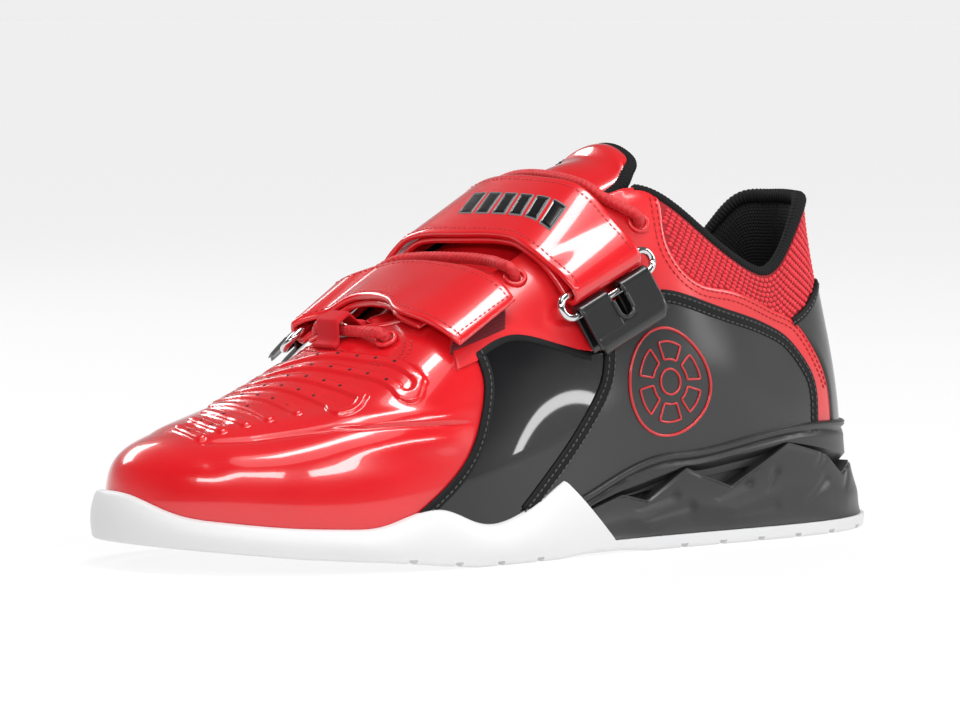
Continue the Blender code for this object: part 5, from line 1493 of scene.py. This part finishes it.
def strap_sheet(name, line, near, far, thickness, material):
    """Band with rounded edges along a folded line; also gives a reader of points on its outer face."""
    travel = unit(np.gradient(line, axis=0))
    side = np.stack([-travel[:, 1], travel[:, 0]], axis=1)
    top = SECTION + [(share, 1.0) for share in np.linspace(0.07, 0.93, 13)]
    top += [(1 - wide, high) for wide, high in SECTION[::-1]]
    bottom = [(wide, -high) for wide, high in top[-2:0:-1]]
    ends = np.ones(len(line))
    ends[[0, -1]] = 0.3
    ends[[1, -2]] = 0.85
    rings = []
    for wide, high in top + bottom:
        at = line + side * (high * thickness / 2 * ends)[:, None]
        rings.append(near(at) * (1 - wide) + far(at) * wide)
    rings = np.array(rings).transpose(1, 0, 2)
    piece = ring_stack(name, rings, material, np.zeros(rings.shape[:2] + (2,)))

    def face(rows, wide):
        """Points and normals at rows of the line and a share of the width, on the face away from the foot."""
        base = near(line[rows]) * (1 - wide) + far(line[rows]) * wide
        for sign in (1, -1):
            at = line[rows] + side[rows] * (sign * thickness / 2)
            points = near(at) * (1 - wide) + far(at) * wide
            normal = unit(points - base)
            if normal[len(normal) // 2][2] >= 0:
                break
        return points, normal

    return piece, face


STITCH_INSET = 0.085
RING_TURNS = 25
RING_RUN = 12


def build_strap(kind, rows):
    """Strap, its stitches, the ring that it turns back through and the ring's leather holder."""
    rear, front, first, last = strap_edges(rows)
    toward = math.copysign(1.0, last - first)
    middle, along, away, out, wide = ring_frame(rear, front, last, toward)

    def square(edge):
        def place(line):
            past = np.maximum((line[:, 0] - last) * toward, 0.0)
            held = np.stack([np.where(past > 0, last, line[:, 0]), line[:, 1]], axis=1)
            return edge(held) + away * past[:, None]
        return place

    line, upper_count = strap_line(first, last)
    strap, face = strap_sheet(kind + "_strap_band", line, square(rear), square(front), STRAP_THICKNESS,
                              "red_strap")
    settle(strap, "red_tape", kind + "_strap")
    rows_over = np.arange(3, upper_count - 2)
    lines = [face(rows_over, share) for share in (STITCH_INSET, 1 - STITCH_INSET)]
    ends = [face(np.array([4]), share) for share in np.linspace(STITCH_INSET, 1 - STITCH_INSET, 24)]
    lines.append(tuple(np.vstack(values) for values in zip(*ends)))
    sew(kind + "_strap_stitches", lines, "red_thread", "red_tape", STRAP_STITCH)

    bar_gap = RING_WIDTH - RING_WIRE
    bend = bar_gap / 2
    half = wide / 2 + RING_PLAY + bend
    centre = middle + away * bar_gap / 2
    path = []
    for end in (1, -1):
        for turn in np.linspace(-math.pi / 2, math.pi / 2, RING_TURNS):
            reach = (half - bend + math.cos(turn) * bar_gap / 2) * end
            path.append(centre + along * reach + away * math.sin(turn) * bar_gap / 2 * end)
        straight = path[-1]
        following = centre + along * (half - bend) * -end + away * bar_gap / 2 * end
        path += [straight * (1 - share) + following * share for share in np.linspace(0, 1, RING_RUN)[1:-1]]
    ring = tube(kind + "_oval_ring", path, out, RING_WIRE / 2, "chrome", sides=16, closed=True)
    settle(ring, "chrome", kind + "_ring")

    bar = middle + away * bar_gap
    anchor = np.array([[last + toward * (RING_WIDTH + TAB_LENGTH), tab_lift()]])
    down = (rear(anchor)[0] + front(anchor)[0]) / 2 - bar
    down = unit(down - along * (down @ along))
    facing = np.cross(along, down) * math.copysign(1.0, np.cross(along, down) @ out)
    build_tab(kind, bar, along, down, facing, wide)
    return face, rows_over


HALF_NOTCH = 3 * MM
LOBE_SHARES = (1.0, 0.8, 0.6, 0.45, 0.3, 0.18, 0.08)


def build_tab(kind, bar, along, away, out, wide):
    """Leather holder: two lobes round the ring's outer bar that join below a round notch."""
    radius = RING_WIRE / 2 + CLEARANCE + TAB_THICKNESS / 2
    reach = TAB_LENGTH * 1.05
    half = wide / 2 + 0.5 * MM
    line = [(reach * share, radius) for share in LOBE_SHARES]
    line += [(-math.sin(turn) * radius, math.cos(turn) * radius) for turn in np.linspace(0, math.pi, 14)]
    line += [(reach * share, -radius) for share in LOBE_SHARES[::-1]]

    def edge(place, narrowing=0.0):
        def read(flat):
            narrow = 1 - narrowing * step(reach * 0.8, reach * 1.2, flat[:, :1])
            return bar + along * place * narrow + away * flat[:, :1] + out * flat[:, 1:]
        return read

    parts = [strap_sheet("lobe", np.array(line), edge(start), edge(end), TAB_THICKNESS, "black_coated")[0]
             for start, end in ((HALF_NOTCH, half), (-half, -HALF_NOTCH))]
    base_line = np.array([(reach * share, radius * 0.96) for share in np.linspace(0.62, 1.16, 9)])
    base_line[:, 1] -= radius * 0.55 * step(0.6, 1.0, np.arange(9) / 8)
    parts.append(strap_sheet("base", base_line, edge(-half, 0.12), edge(half, 0.12), TAB_THICKNESS * 1.1,
                             "black_coated")[0])
    floor_of_notch = reach * 0.64
    middle = floor_of_notch - HALF_NOTCH
    rows = []
    for turn in np.linspace(0, math.pi, 25):
        inner = np.array([math.cos(turn), math.sin(turn)]) * HALF_NOTCH
        box = inner / max(abs(math.cos(turn)), math.sin(turn)) * 1.04
        rows.append([inner * (1 - share) + box * share for share in np.linspace(0, 1, 5)])
    flat = np.array(rows)
    faces = [bar + along * flat[..., :1] + away * (middle + flat[..., 1:])
             + out * (radius + deep * TAB_THICKNESS / 2) for deep in (1, -1)]
    parts.append(backed_sheet("notch", *faces, "black_coated"))
    rim = [(HALF_NOTCH * math.cos(turn), middle + HALF_NOTCH * math.sin(turn))
           for turn in np.linspace(0, math.pi, 21)]
    rim = smooth_path([(HALF_NOTCH, 2 * MM)] + rim + [(-HALF_NOTCH, 2 * MM)], 60)
    path = bar + along * rim[:, :1] + away * rim[:, 1:] + out * (radius + TAB_THICKNESS / 2)
    parts.append(tube("notch_rim", path, out, 0.75 * MM, "black_coated"))
    settle(join(kind + "_ring_tab", parts), "black_leather", kind + "_tab_front", kind + "_tab_rear")


# Laces

def smooth_path(rows, count):
    rows = np.asarray(rows, float)
    steps = lengths_along(rows)
    return open_spline(steps / steps[-1], rows, np.linspace(0, 1, count))


def lace_path(points, normals, lift):
    """Middle of a cord out of one eyelet, over the throat and into the other, with its side and distance."""
    far = np.minimum(np.linalg.norm(points - points[0], axis=1), np.linalg.norm(points - points[-1], axis=1))
    near = step(0.0, 1.0, 1 - far / LACE_RAMP)
    rest = CLEARANCE + LACE_DIAMETER / 2
    lifted = points + normals * (rest + (lift - rest) * near)[:, None]
    seat = 2 * CLEARANCE
    turn = EYELET_DIAMETER / 2 - EYELET_WIRE / 2
    angles = np.linspace(0, math.pi / 2, 9)[:, None]
    bends, sides = [], []
    for end, inner, sign in ((0, 1, 1), (-1, -2, -1)):
        normal = normals[end]
        toward = points[inner] - points[end]
        toward = unit(toward - normal * (toward @ normal))
        base = points[end] + normal * seat
        rise = lift - seat - turn + np.sin(angles) * turn
        bend = base + normal * rise + toward * (1 - np.cos(angles)) * turn
        bend = np.vstack([base - normal * LACE_TUCK, base, bend])
        bends.append(bend[::sign])
        sides.append(np.tile(np.cross(toward, normal) * sign, (len(bend), 1)))
    keep = far > LACE_BEND
    middle_sides = unit(np.cross(np.gradient(lifted, axis=0), normals))
    joined = np.vstack([bends[0], lifted[keep], bends[1]])
    joined_sides = np.vstack([sides[0], middle_sides[keep], sides[1]])
    distance = lengths_along(joined)
    at = np.linspace(0, distance[-1], 260)
    return read_rows(at, distance, joined), unit(read_rows(at, distance, joined_sides)), at


LACE_SIDES = 18
BRAID_PITCH = 2.0 * MM
HOOP_SIDES = 40


def build_lace(name, points, normals):
    """Braided cord that dips into its two eyelets, and the eyelets' rims."""
    path, sides, at = lace_path(points, normals, EYELET_WIRE + 2 * CLEARANCE + LACE_DIAMETER / 2)
    strands, run = 3 * full_turn(LACE_SIDES)[None, :], at[:, None] / BRAID_PITCH * 2 * math.pi
    radii = LACE_DIAMETER / 2 * (0.93 + 0.09 * np.maximum(np.cos(strands + run), np.cos(strands - run)))
    settle(tube("cord_" + name, path, sides, radii, "red_cord", sides=LACE_SIDES), "red_cord", "lace_" + name)
    radius = (EYELET_DIAMETER - EYELET_WIRE) / 2
    turns = full_turn(HOOP_SIDES)[:, None]
    for side, end in (("_lateral", 0), ("_medial", -1)):
        normal = normals[end]
        along = unit(np.cross(normal, np.array([1.0, 0.0, 0.0])))
        across = np.cross(normal, along)
        middle = points[end] + normal * (CLEARANCE + EYELET_WIRE / 2)
        path = middle + along * np.cos(turns) * radius + across * np.sin(turns) * radius
        hoop = tube("eyelet_hoop_" + name + side, path, normal, EYELET_WIRE / 2, "red_satin", closed=True)
        settle(hoop, "red_leather", "eyelet_" + name + side)


def build_laces():
    for name, rows in (("middle", MIDDLE_LACE), ("top", TOP_LACE)):
        table = smooth_path([(around, across * BALL_WIDTH) for around, across in rows], 60)
        points = instep(table[:, 0], table[:, 1])
        build_lace(name, points, (instep(table[:, 0], table[:, 1], MM) - points) / MM)
    build_lace("front", *on_skin(smooth_path(FRONT_LACE, 60)))


def build_keeper():
    """Loop of ribbed webbing on the vamp that holds the front lace."""
    over = EYELET_WIRE + 4 * CLEARANCE + LACE_DIAMETER
    around = clustered(33, 0.03) * (KEEPER_SPAN[1] - KEEPER_SPAN[0]) + KEEPER_SPAN[0]
    share = np.linspace(0, 1, 41)
    up = np.interp(share, np.linspace(0, 1, 6), KEEPER_UP)
    lifts = CLEARANCE + (over - CLEARANCE) * step(0.12, 0.42, share) * step(0.88, 0.58, share)
    width = np.linspace(-1, 1, 33)
    thick = KEEPER_THICKNESS * np.clip(1 - width**10, 0, 1)**0.5
    outer = lifts[:, None] + 0.2 * MM + thick[None, :]
    settle(skin_sheet("keeper_loop", place_grid(around, up), outer, lifts[:, None], "red_webbing"),
           "red_leather", "lace_keeper")


# Sole

def wall_rings(around, height, steps):
    top = up_at_height(around, height)
    rings = []
    for share in np.linspace(1.0, 0.0, steps):
        ring = skin(around, top * share, np.full(around.shape, CLEARANCE))
        if share == 0.0:
            ring[:, 2] = bed_height(ring[:, 0])
        rings.append(ring)
    return rings


def edge_ring(around, inset, height):
    flat = outline(around) - outward(around) * inset
    return np.concatenate([flat, np.broadcast_to(height, around.shape)[:, None]], axis=1)


BOX_FACES = np.array([(0, 1, 3, 2), (4, 6, 7, 5), (0, 4, 5, 1), (2, 3, 7, 6), (0, 2, 6, 4), (1, 5, 7, 3)])


def box_mesh(name, boxes):
    """Cutter made of boxes, each eight corners in order along, side, tall."""
    faces = np.concatenate([BOX_FACES + 8 * number for number in range(len(boxes))])
    return make_piece(name, np.reshape(boxes, (-1, 3)), faces.tolist(), "black_rubber")


def sole_prism(gap):
    """All that lies over the plate and behind the heel's slanting face, less a gap."""
    ends = (PLATE_THICKNESS + gap, CUP_HEIGHT + HEEL_BED)
    sides = (-BALL_WIDTH, BALL_WIDTH)
    corners = [(-LENGTH / 4, side, tall) for side in sides for tall in ends]
    corners += [(face_along(tall) - gap * 1.5, side, tall) for side in sides for tall in ends]
    return box_mesh("sole_prism", [corners])


def tread_cutter():
    boxes = []
    for rear, front in ((0.06 * LENGTH, 0.38 * LENGTH), (0.57 * LENGTH, 0.80 * LENGTH)):
        count = int((front - rear) / TREAD_PITCH) + 1
        for number in range(count):
            along = rear + number * TREAD_PITCH
            deep = TREAD_DEPTH + float(ground_height(along))
            boxes.append([(along + end, side, tall) for end in (-TREAD_WIDTH / 2, TREAD_WIDTH / 2)
                          for side in (-BALL_WIDTH, BALL_WIDTH) for tall in (-SOLE_EDGE, deep)])
    return box_mesh("tread_cutter", boxes)


SHARP_ANGLE = math.radians(38)


def cut(thing, cutter, operation):
    modifier = thing.modifiers.new("cut", "BOOLEAN")
    modifier.operation = operation
    modifier.object = cutter
    modifier.solver = "EXACT"
    thing.data = evaluated_mesh(thing)
    bpy.data.objects.remove(cutter, do_unlink=True)
    thing.data.shade_smooth()
    thing.data.set_sharp_from_angle(angle=SHARP_ANGLE)


def curve_rings(start, bend, end, shares):
    """Rings on a curve from the first ring towards the last, drawn to the middle one."""
    return [start * (1 - t)**2 + bend * 2 * t * (1 - t) + end * t**2 for t in shares]


def build_outsole():
    """White outsole: rounded edge, slightly bulging rim that rises and falls round the shoe."""
    around = np.arange(360) / 360
    along = outline(around)[:, 0]
    ground = ground_height(along)
    height = np.maximum(rim_height(around), bed_height(along) + SOLE_EDGE)
    up = up_at_height(around, height)
    edge = SOLE_EDGE * 0.7
    rings = [edge_ring(around, SOLE_EDGE * 1.2, ground)]
    for turn in np.linspace(0.15, 1.0, 5) * math.pi / 2:
        rings.append(edge_ring(around, edge * (1 - math.sin(turn)), ground + edge * (1 - math.cos(turn))))
    low = ground + edge
    rim_out = skin(around, up, CLEARANCE + RIM_THICKNESS)
    bulge = edge_ring(around, -RIM_BULGE * 1.6, low + (height - low) * 0.55)
    rings += curve_rings(edge_ring(around, 0.0, low), bulge, rim_out, np.linspace(0.08, 0.93, 12))
    rings += curve_rings(rings[-1], rim_out, skin(around, up, CLEARANCE), np.linspace(0.25, 0.85, 4))
    rings += wall_rings(around, height, 4)
    rings[0][:, 2] = ground_height(rings[0][:, 0])
    body = ring_stack("outsole_rubber", rings, "white_rubber")
    cut(body, sole_prism(0.0), "DIFFERENCE")
    cut(body, tread_cutter(), "DIFFERENCE")
    settle(body, "white_rubber", "outsole")


# Grooves pressed in the heel block. Columns: start and end as around and share of the cup height, depth
HEEL_STROKES = [
    (0.158, 0.40, 0.138, 0.52, 0.9), (0.125, 0.44, 0.118, 0.60, 0.8), (0.098, 0.30, 0.080, 0.48, 0.7),
    (0.210, 0.36, 0.186, 0.46, 0.7), (0.206, 0.26, 0.176, 0.36, 0.6), (0.088, 0.58, 0.078, 0.72, 0.8),
    (0.064, 0.36, 0.050, 0.52, 0.6), (0.150, 0.24, 0.120, 0.30, 0.4), (0.030, 0.30, 0.018, 0.46, 0.6),
]


# Top of the heel's hollow band, in shares of the cup height
BROW = [(0.0, 0.62), (0.040, 0.66), (0.108, 0.84), (0.177, 0.70), (0.218, 0.53), (0.25, 0.36), (0.5, 0.36)]


def stroke_depth(round_place, tall):
    """Depth of the pressed grooves at one ring of the heel block."""
    here = np.stack([round_place * ROUND, tall / MM], axis=1)
    depth = np.zeros(len(here))
    for start_around, start_high, end_around, end_high, deep in HEEL_STROKES:
        first = np.array([start_around * ROUND, start_high * CUP_HEIGHT / MM])
        span = np.array([end_around * ROUND, end_high * CUP_HEIGHT / MM]) - first
        t = np.clip((here - first) @ span / (span @ span), 0, 1)
        gap = np.linalg.norm(here - first - t[:, None] * span, axis=1)
        depth += deep * MM * np.exp(-(gap / (0.5 + 1.1 * t))**2) * (0.4 + 0.6 * t)
    return depth


def build_heel():
    """Moulded heel: a rolled lip, a hollow band under it and a block with a jagged crest."""
    around = np.arange(520) / 520
    height = cup_height(around)
    crest, brow = (straight(mirrored(rows), around) * CUP_HEIGHT for rows in (RIDGE, BROW))
    brow = np.minimum(np.maximum(brow, crest), height - 5 * MM)
    low = PLATE_THICKNESS + CLEARANCE
    foot = edge_ring(around, SOLE_EDGE * 0.5, low)
    up = up_at_height(around, height)
    lip = skin(around, up, CLEARANCE + LIP_THICKNESS)
    normal = level(outward(around))
    half = np.minimum(around, 1 - around)
    rings = [foot]
    levels = [("block", share) for share in np.linspace(0.04, 0.97, 26)] + [("crest", 1.0)]
    levels += [("band", share) for share in np.linspace(0.0, 1.0, 12)]
    levels += [("neck", share) for share in np.linspace(0.1, 1.0, 10)]
    for kind, share in levels:
        if kind == "band":
            tall = crest + 0.15 * MM + (brow - crest) * share
        elif kind == "neck":
            start = brow + 0.15 * MM
            tall = start + (height - 0.9 * MM - start) * share
        else:
            tall = low + (crest - low) * share if kind == "block" else crest
        at = ((tall - low) / (height - low))[:, None]
        push = -np.sin(math.pi * np.clip(at[:, 0], 0, 1)) * 2.0 * MM
        if kind == "band":
            push = push - np.clip((brow - tall) * 0.75, 0, 3.6 * MM) + 0.6 * MM * (share - 0.2)
        elif kind == "neck":
            near_lip = (height - tall) / MM
            roll = 0.5 * MM * step(3.0, 1.6, near_lip)
            push = push + 0.5 * MM - 0.9 * MM * np.exp(-((near_lip - 3.4) / 0.8)**2) + roll
        else:
            push = push + 1.8 * MM * (1.0 if share < 0.95 else 0.7) * step(0.0, 0.5, share)
            push = push - stroke_depth(half, tall)
        rings.append(foot * (1 - at) + lip * at + normal * push[:, None])
    over = lip + normal * 0.6 * MM
    rings += curve_rings(rings[-1], over, skin(around, up, CLEARANCE), np.linspace(0.2, 0.9, 6))
    rings += wall_rings(around, height, 4)
    body = ring_stack("heel_block", rings, "black_rubber")
    cut(body, sole_prism(CLEARANCE), "INTERSECT")
    settle(body, "black_rubber", "heel_wedge")


def build_insole():
    """Cupped sock liner with a woven face."""
    around = np.arange(200) / 200
    back = UPPER_WALL + 0.8 * MM
    foot = skin(around, 0.0, -back)
    rings = []
    for share, inset in ((0.0, 0.0), (0.6, 0.0), (0.9, 0.4), (1.0, 1.2)):
        up = up_at_height(around, bed_height(foot[:, 0]) + CLEARANCE + INSOLE_THICKNESS * share)
        ring = skin(around, up, -(back + inset * MM))
        ring[:, 2] = bed_height(ring[:, 0]) + CLEARANCE + INSOLE_THICKNESS * share
        rings.append(ring)
    rim = rings[-1]
    spine = np.stack([rim[:, 0] * 0.98 + 2 * MM, np.full(len(rim), -1 * MM), rim[:, 2]], axis=1)
    for share in np.linspace(0.1, 0.96, 12):
        ring = rim * (1 - share) + spine * share
        dish = 1.0 - 0.12 * step(0.0, 0.5, share)
        ring[:, 2] = bed_height(ring[:, 0]) + CLEARANCE + INSOLE_THICKNESS * dish
        rings.append(ring)
    lay = np.array(rings)[..., :2] / MM
    settle(ring_stack("sock_liner", rings, "insole_cloth", lay), "insole_foam", "insole")


# Rear and front end, then lateral start and end across in shares of the ball width
PATCH = (0.297, 0.335, 0.30, 0.47)


def build_loop_patch():
    """Fuzzy patch that the lower strap's free end presses on."""
    rear, front, near, far = PATCH
    around, across = np.meshgrid(np.linspace(rear, front, 33), np.linspace(near, far, 49) * BALL_WIDTH)
    edge_around = np.minimum(around - rear, front - around) / 0.0015
    edge_across = np.minimum(across / BALL_WIDTH - near, far - across / BALL_WIDTH) / 0.006
    share = np.clip(np.minimum(edge_around, edge_across), 0, 1)
    rough = np.sin(around * 5200) * np.sin(across / MM * 4.1) * 0.16
    outer = instep(around, across, (0.25 + (0.85 + rough) * np.sqrt(share)) * MM)
    settle(backed_sheet("loop_patch", outer, instep(around, across, -0.4 * MM), "red_loop"), "red_tape")


WINDOW = [(0.105, 0.20), (0.118, 0.40), (0.135, 0.50), (0.150, 0.46), (0.165, 0.36), (0.182, 0.40),
          (0.198, 0.34), (0.215, 0.20), (0.160, 0.17), (0.105, 0.20)]
WINDOW_PITCH = 2.4 * MM
WINDOW_HOLE = (1.5 * MM, 1.5 * MM, 0.25 * MM)


def inside(outline_rows, around, up):
    """Whether a place is inside a closed outline of places."""
    crossings = 0
    for first, second in zip(outline_rows, np.roll(outline_rows, -1, axis=0)):
        if (first[1] > up) != (second[1] > up):
            crossings += around < first[0] + (up - first[1]) / (second[1] - first[1]) * (second[0] - first[0])
    return crossings % 2 == 1


def build_window():
    """Airing window of the inner quarter: rows of holes inside a raised hill-shaped line."""
    line = np.asarray(WINDOW)
    rows = np.vstack([np.linspace(line[place], line[place + 1], 12)[:-1] for place in range(len(line) - 1)])
    rows = (np.roll(rows, 2, axis=0) + np.roll(rows, 1, axis=0) + rows + np.roll(rows, -1, axis=0)
            + np.roll(rows, -2, axis=0)) / 5
    settle(tube("window_rim", *on_skin(to_side(rows, "medial"), 1.75 * MM), 0.55 * MM, "black_trim",
                closed=True), "black_leather")
    per_around = np.linalg.norm(skin_point(0.161, 0.3) - skin_point(0.159, 0.3)) / 0.002
    per_up = np.linalg.norm(skin_point(0.16, 0.31) - skin_point(0.16, 0.29)) / 0.02
    places = [(0.10 + (place + 0.5 * (number % 2)) * WINDOW_PITCH / per_around,
               0.16 + number * WINDOW_PITCH * 0.87 / per_up) for number in range(60) for place in range(60)]
    kept = to_side([place for place in places if inside(rows, *place)], "medial")
    points, normals = on_skin(kept, 1.78 * MM)
    way = unit(np.cross(normals, UP))
    beads("window_holes", points, normals, way, WINDOW_HOLE, "black_trim", "black_leather")


# Badges

BADGE_CENTRE = (0.187, 0.345)
BADGE_RADIUS = 17.6
HUB_RADIUS = 4.2
SLOT_OUTER = 13.2
SLOT_INNER = 7.4
SLOT_SPREAD = 0.36
BADGE_LIFT = 1.75 * MM


def badge_line(name, flat, radius):
    """Raised closed line round the badge's centre: millimetres forward and up, laid on the skin."""
    around, up = BADGE_CENTRE
    along = np.linalg.norm(way_round(around, up)) / (2 * NEAR)
    rising = np.linalg.norm(way_up(around, up)) / (2 * NEAR)
    rows = np.stack([around + flat[:, 0] * MM / along, up + flat[:, 1] * MM / rising], axis=1)
    return tube(name, *on_skin(rows, BADGE_LIFT), radius, "badge_red", sides=8, closed=True)


def build_badge():
    """Plain plate sign: a ring, a hub and six slots between them, in raised red lines."""
    turns = np.linspace(0, 2 * math.pi, 121)[:-1]
    circle = np.stack([np.cos(turns), np.sin(turns)], axis=1)
    parts = [badge_line("ring", circle * BADGE_RADIUS, 0.5 * MM),
             badge_line("hub", circle * HUB_RADIUS, 0.38 * MM)]
    for spoke in range(6):
        middle = spoke * math.pi / 3 + math.pi / 6
        loop = [(radius * math.cos(middle + turn), radius * math.sin(middle + turn))
                for radius, spread, count in ((SLOT_OUTER, SLOT_SPREAD, 12), (SLOT_INNER, -SLOT_SPREAD, 8))
                for turn in np.linspace(-spread, spread, count)]
        loop = np.array(loop + loop[:1])
        distance = lengths_along(loop)
        smooth = read_rows(np.linspace(0, distance[-1], 61)[:-1], distance, loop)
        smooth = (np.roll(smooth, 1, axis=0) + smooth + np.roll(smooth, -1, axis=0)) / 3
        parts.append(badge_line("slot", smooth, 0.36 * MM))
    settle(join("plate_badge", parts), "red_leather")


BAR_COUNT = 6
BARS_START = 0.40
BARS_LENGTH = 0.40
BAR_SLANT = 0.10


def build_strap_bars(face, rows_over):
    """Row of plain slanted bars on the upper strap, dark with a thin pale edge."""
    # Columns: name, how far a bar grows, lift in millimetres, finish
    for name, grow, lift, material in (("strap_bars", 0.0, 0.42, "black_patent"),
                                       ("strap_bar_edges", 0.0045, 0.26, "badge_grey")):
        parts = []
        for number in range(BAR_COUNT):
            start = BARS_START + BARS_LENGTH * number / BAR_COUNT
            end = start + BARS_LENGTH / BAR_COUNT * 0.66
            outer, inner = [], []
            for share in np.linspace(0.34 - grow * 4, 0.66 + grow * 4, 9):
                slant = (share - 0.5) * BAR_SLANT
                rows = (np.linspace(start - grow, end + grow, 9) + slant) * (len(rows_over) - 1)
                points, normals = face(rows_over, share)
                points = read_rows(rows, np.arange(len(rows_over)), points)
                normals = normals[np.clip(np.round(rows).astype(int), 0, len(rows_over) - 1)]
                outer.append(points + normals * lift * MM)
                inner.append(points - normals * 0.5 * MM)
            parts.append(backed_sheet("bar", np.array(outer), np.array(inner), material))
        settle(join(name, parts), "red_tape")


# Assembly

build_camera()
build_studio()
build_shell()
vamp_hole_shade_dots()
throat_trim()
build_panels()
build_trims()
build_knit()
build_lining()
build_binding()
build_tongue()
build_strap("lower", LOWER_STRAP)
build_strap_bars(*build_strap("upper", UPPER_STRAP))
build_laces()
build_keeper()
build_outsole()
build_heel()
build_insole()
build_badge()
build_loop_patch()
build_window()
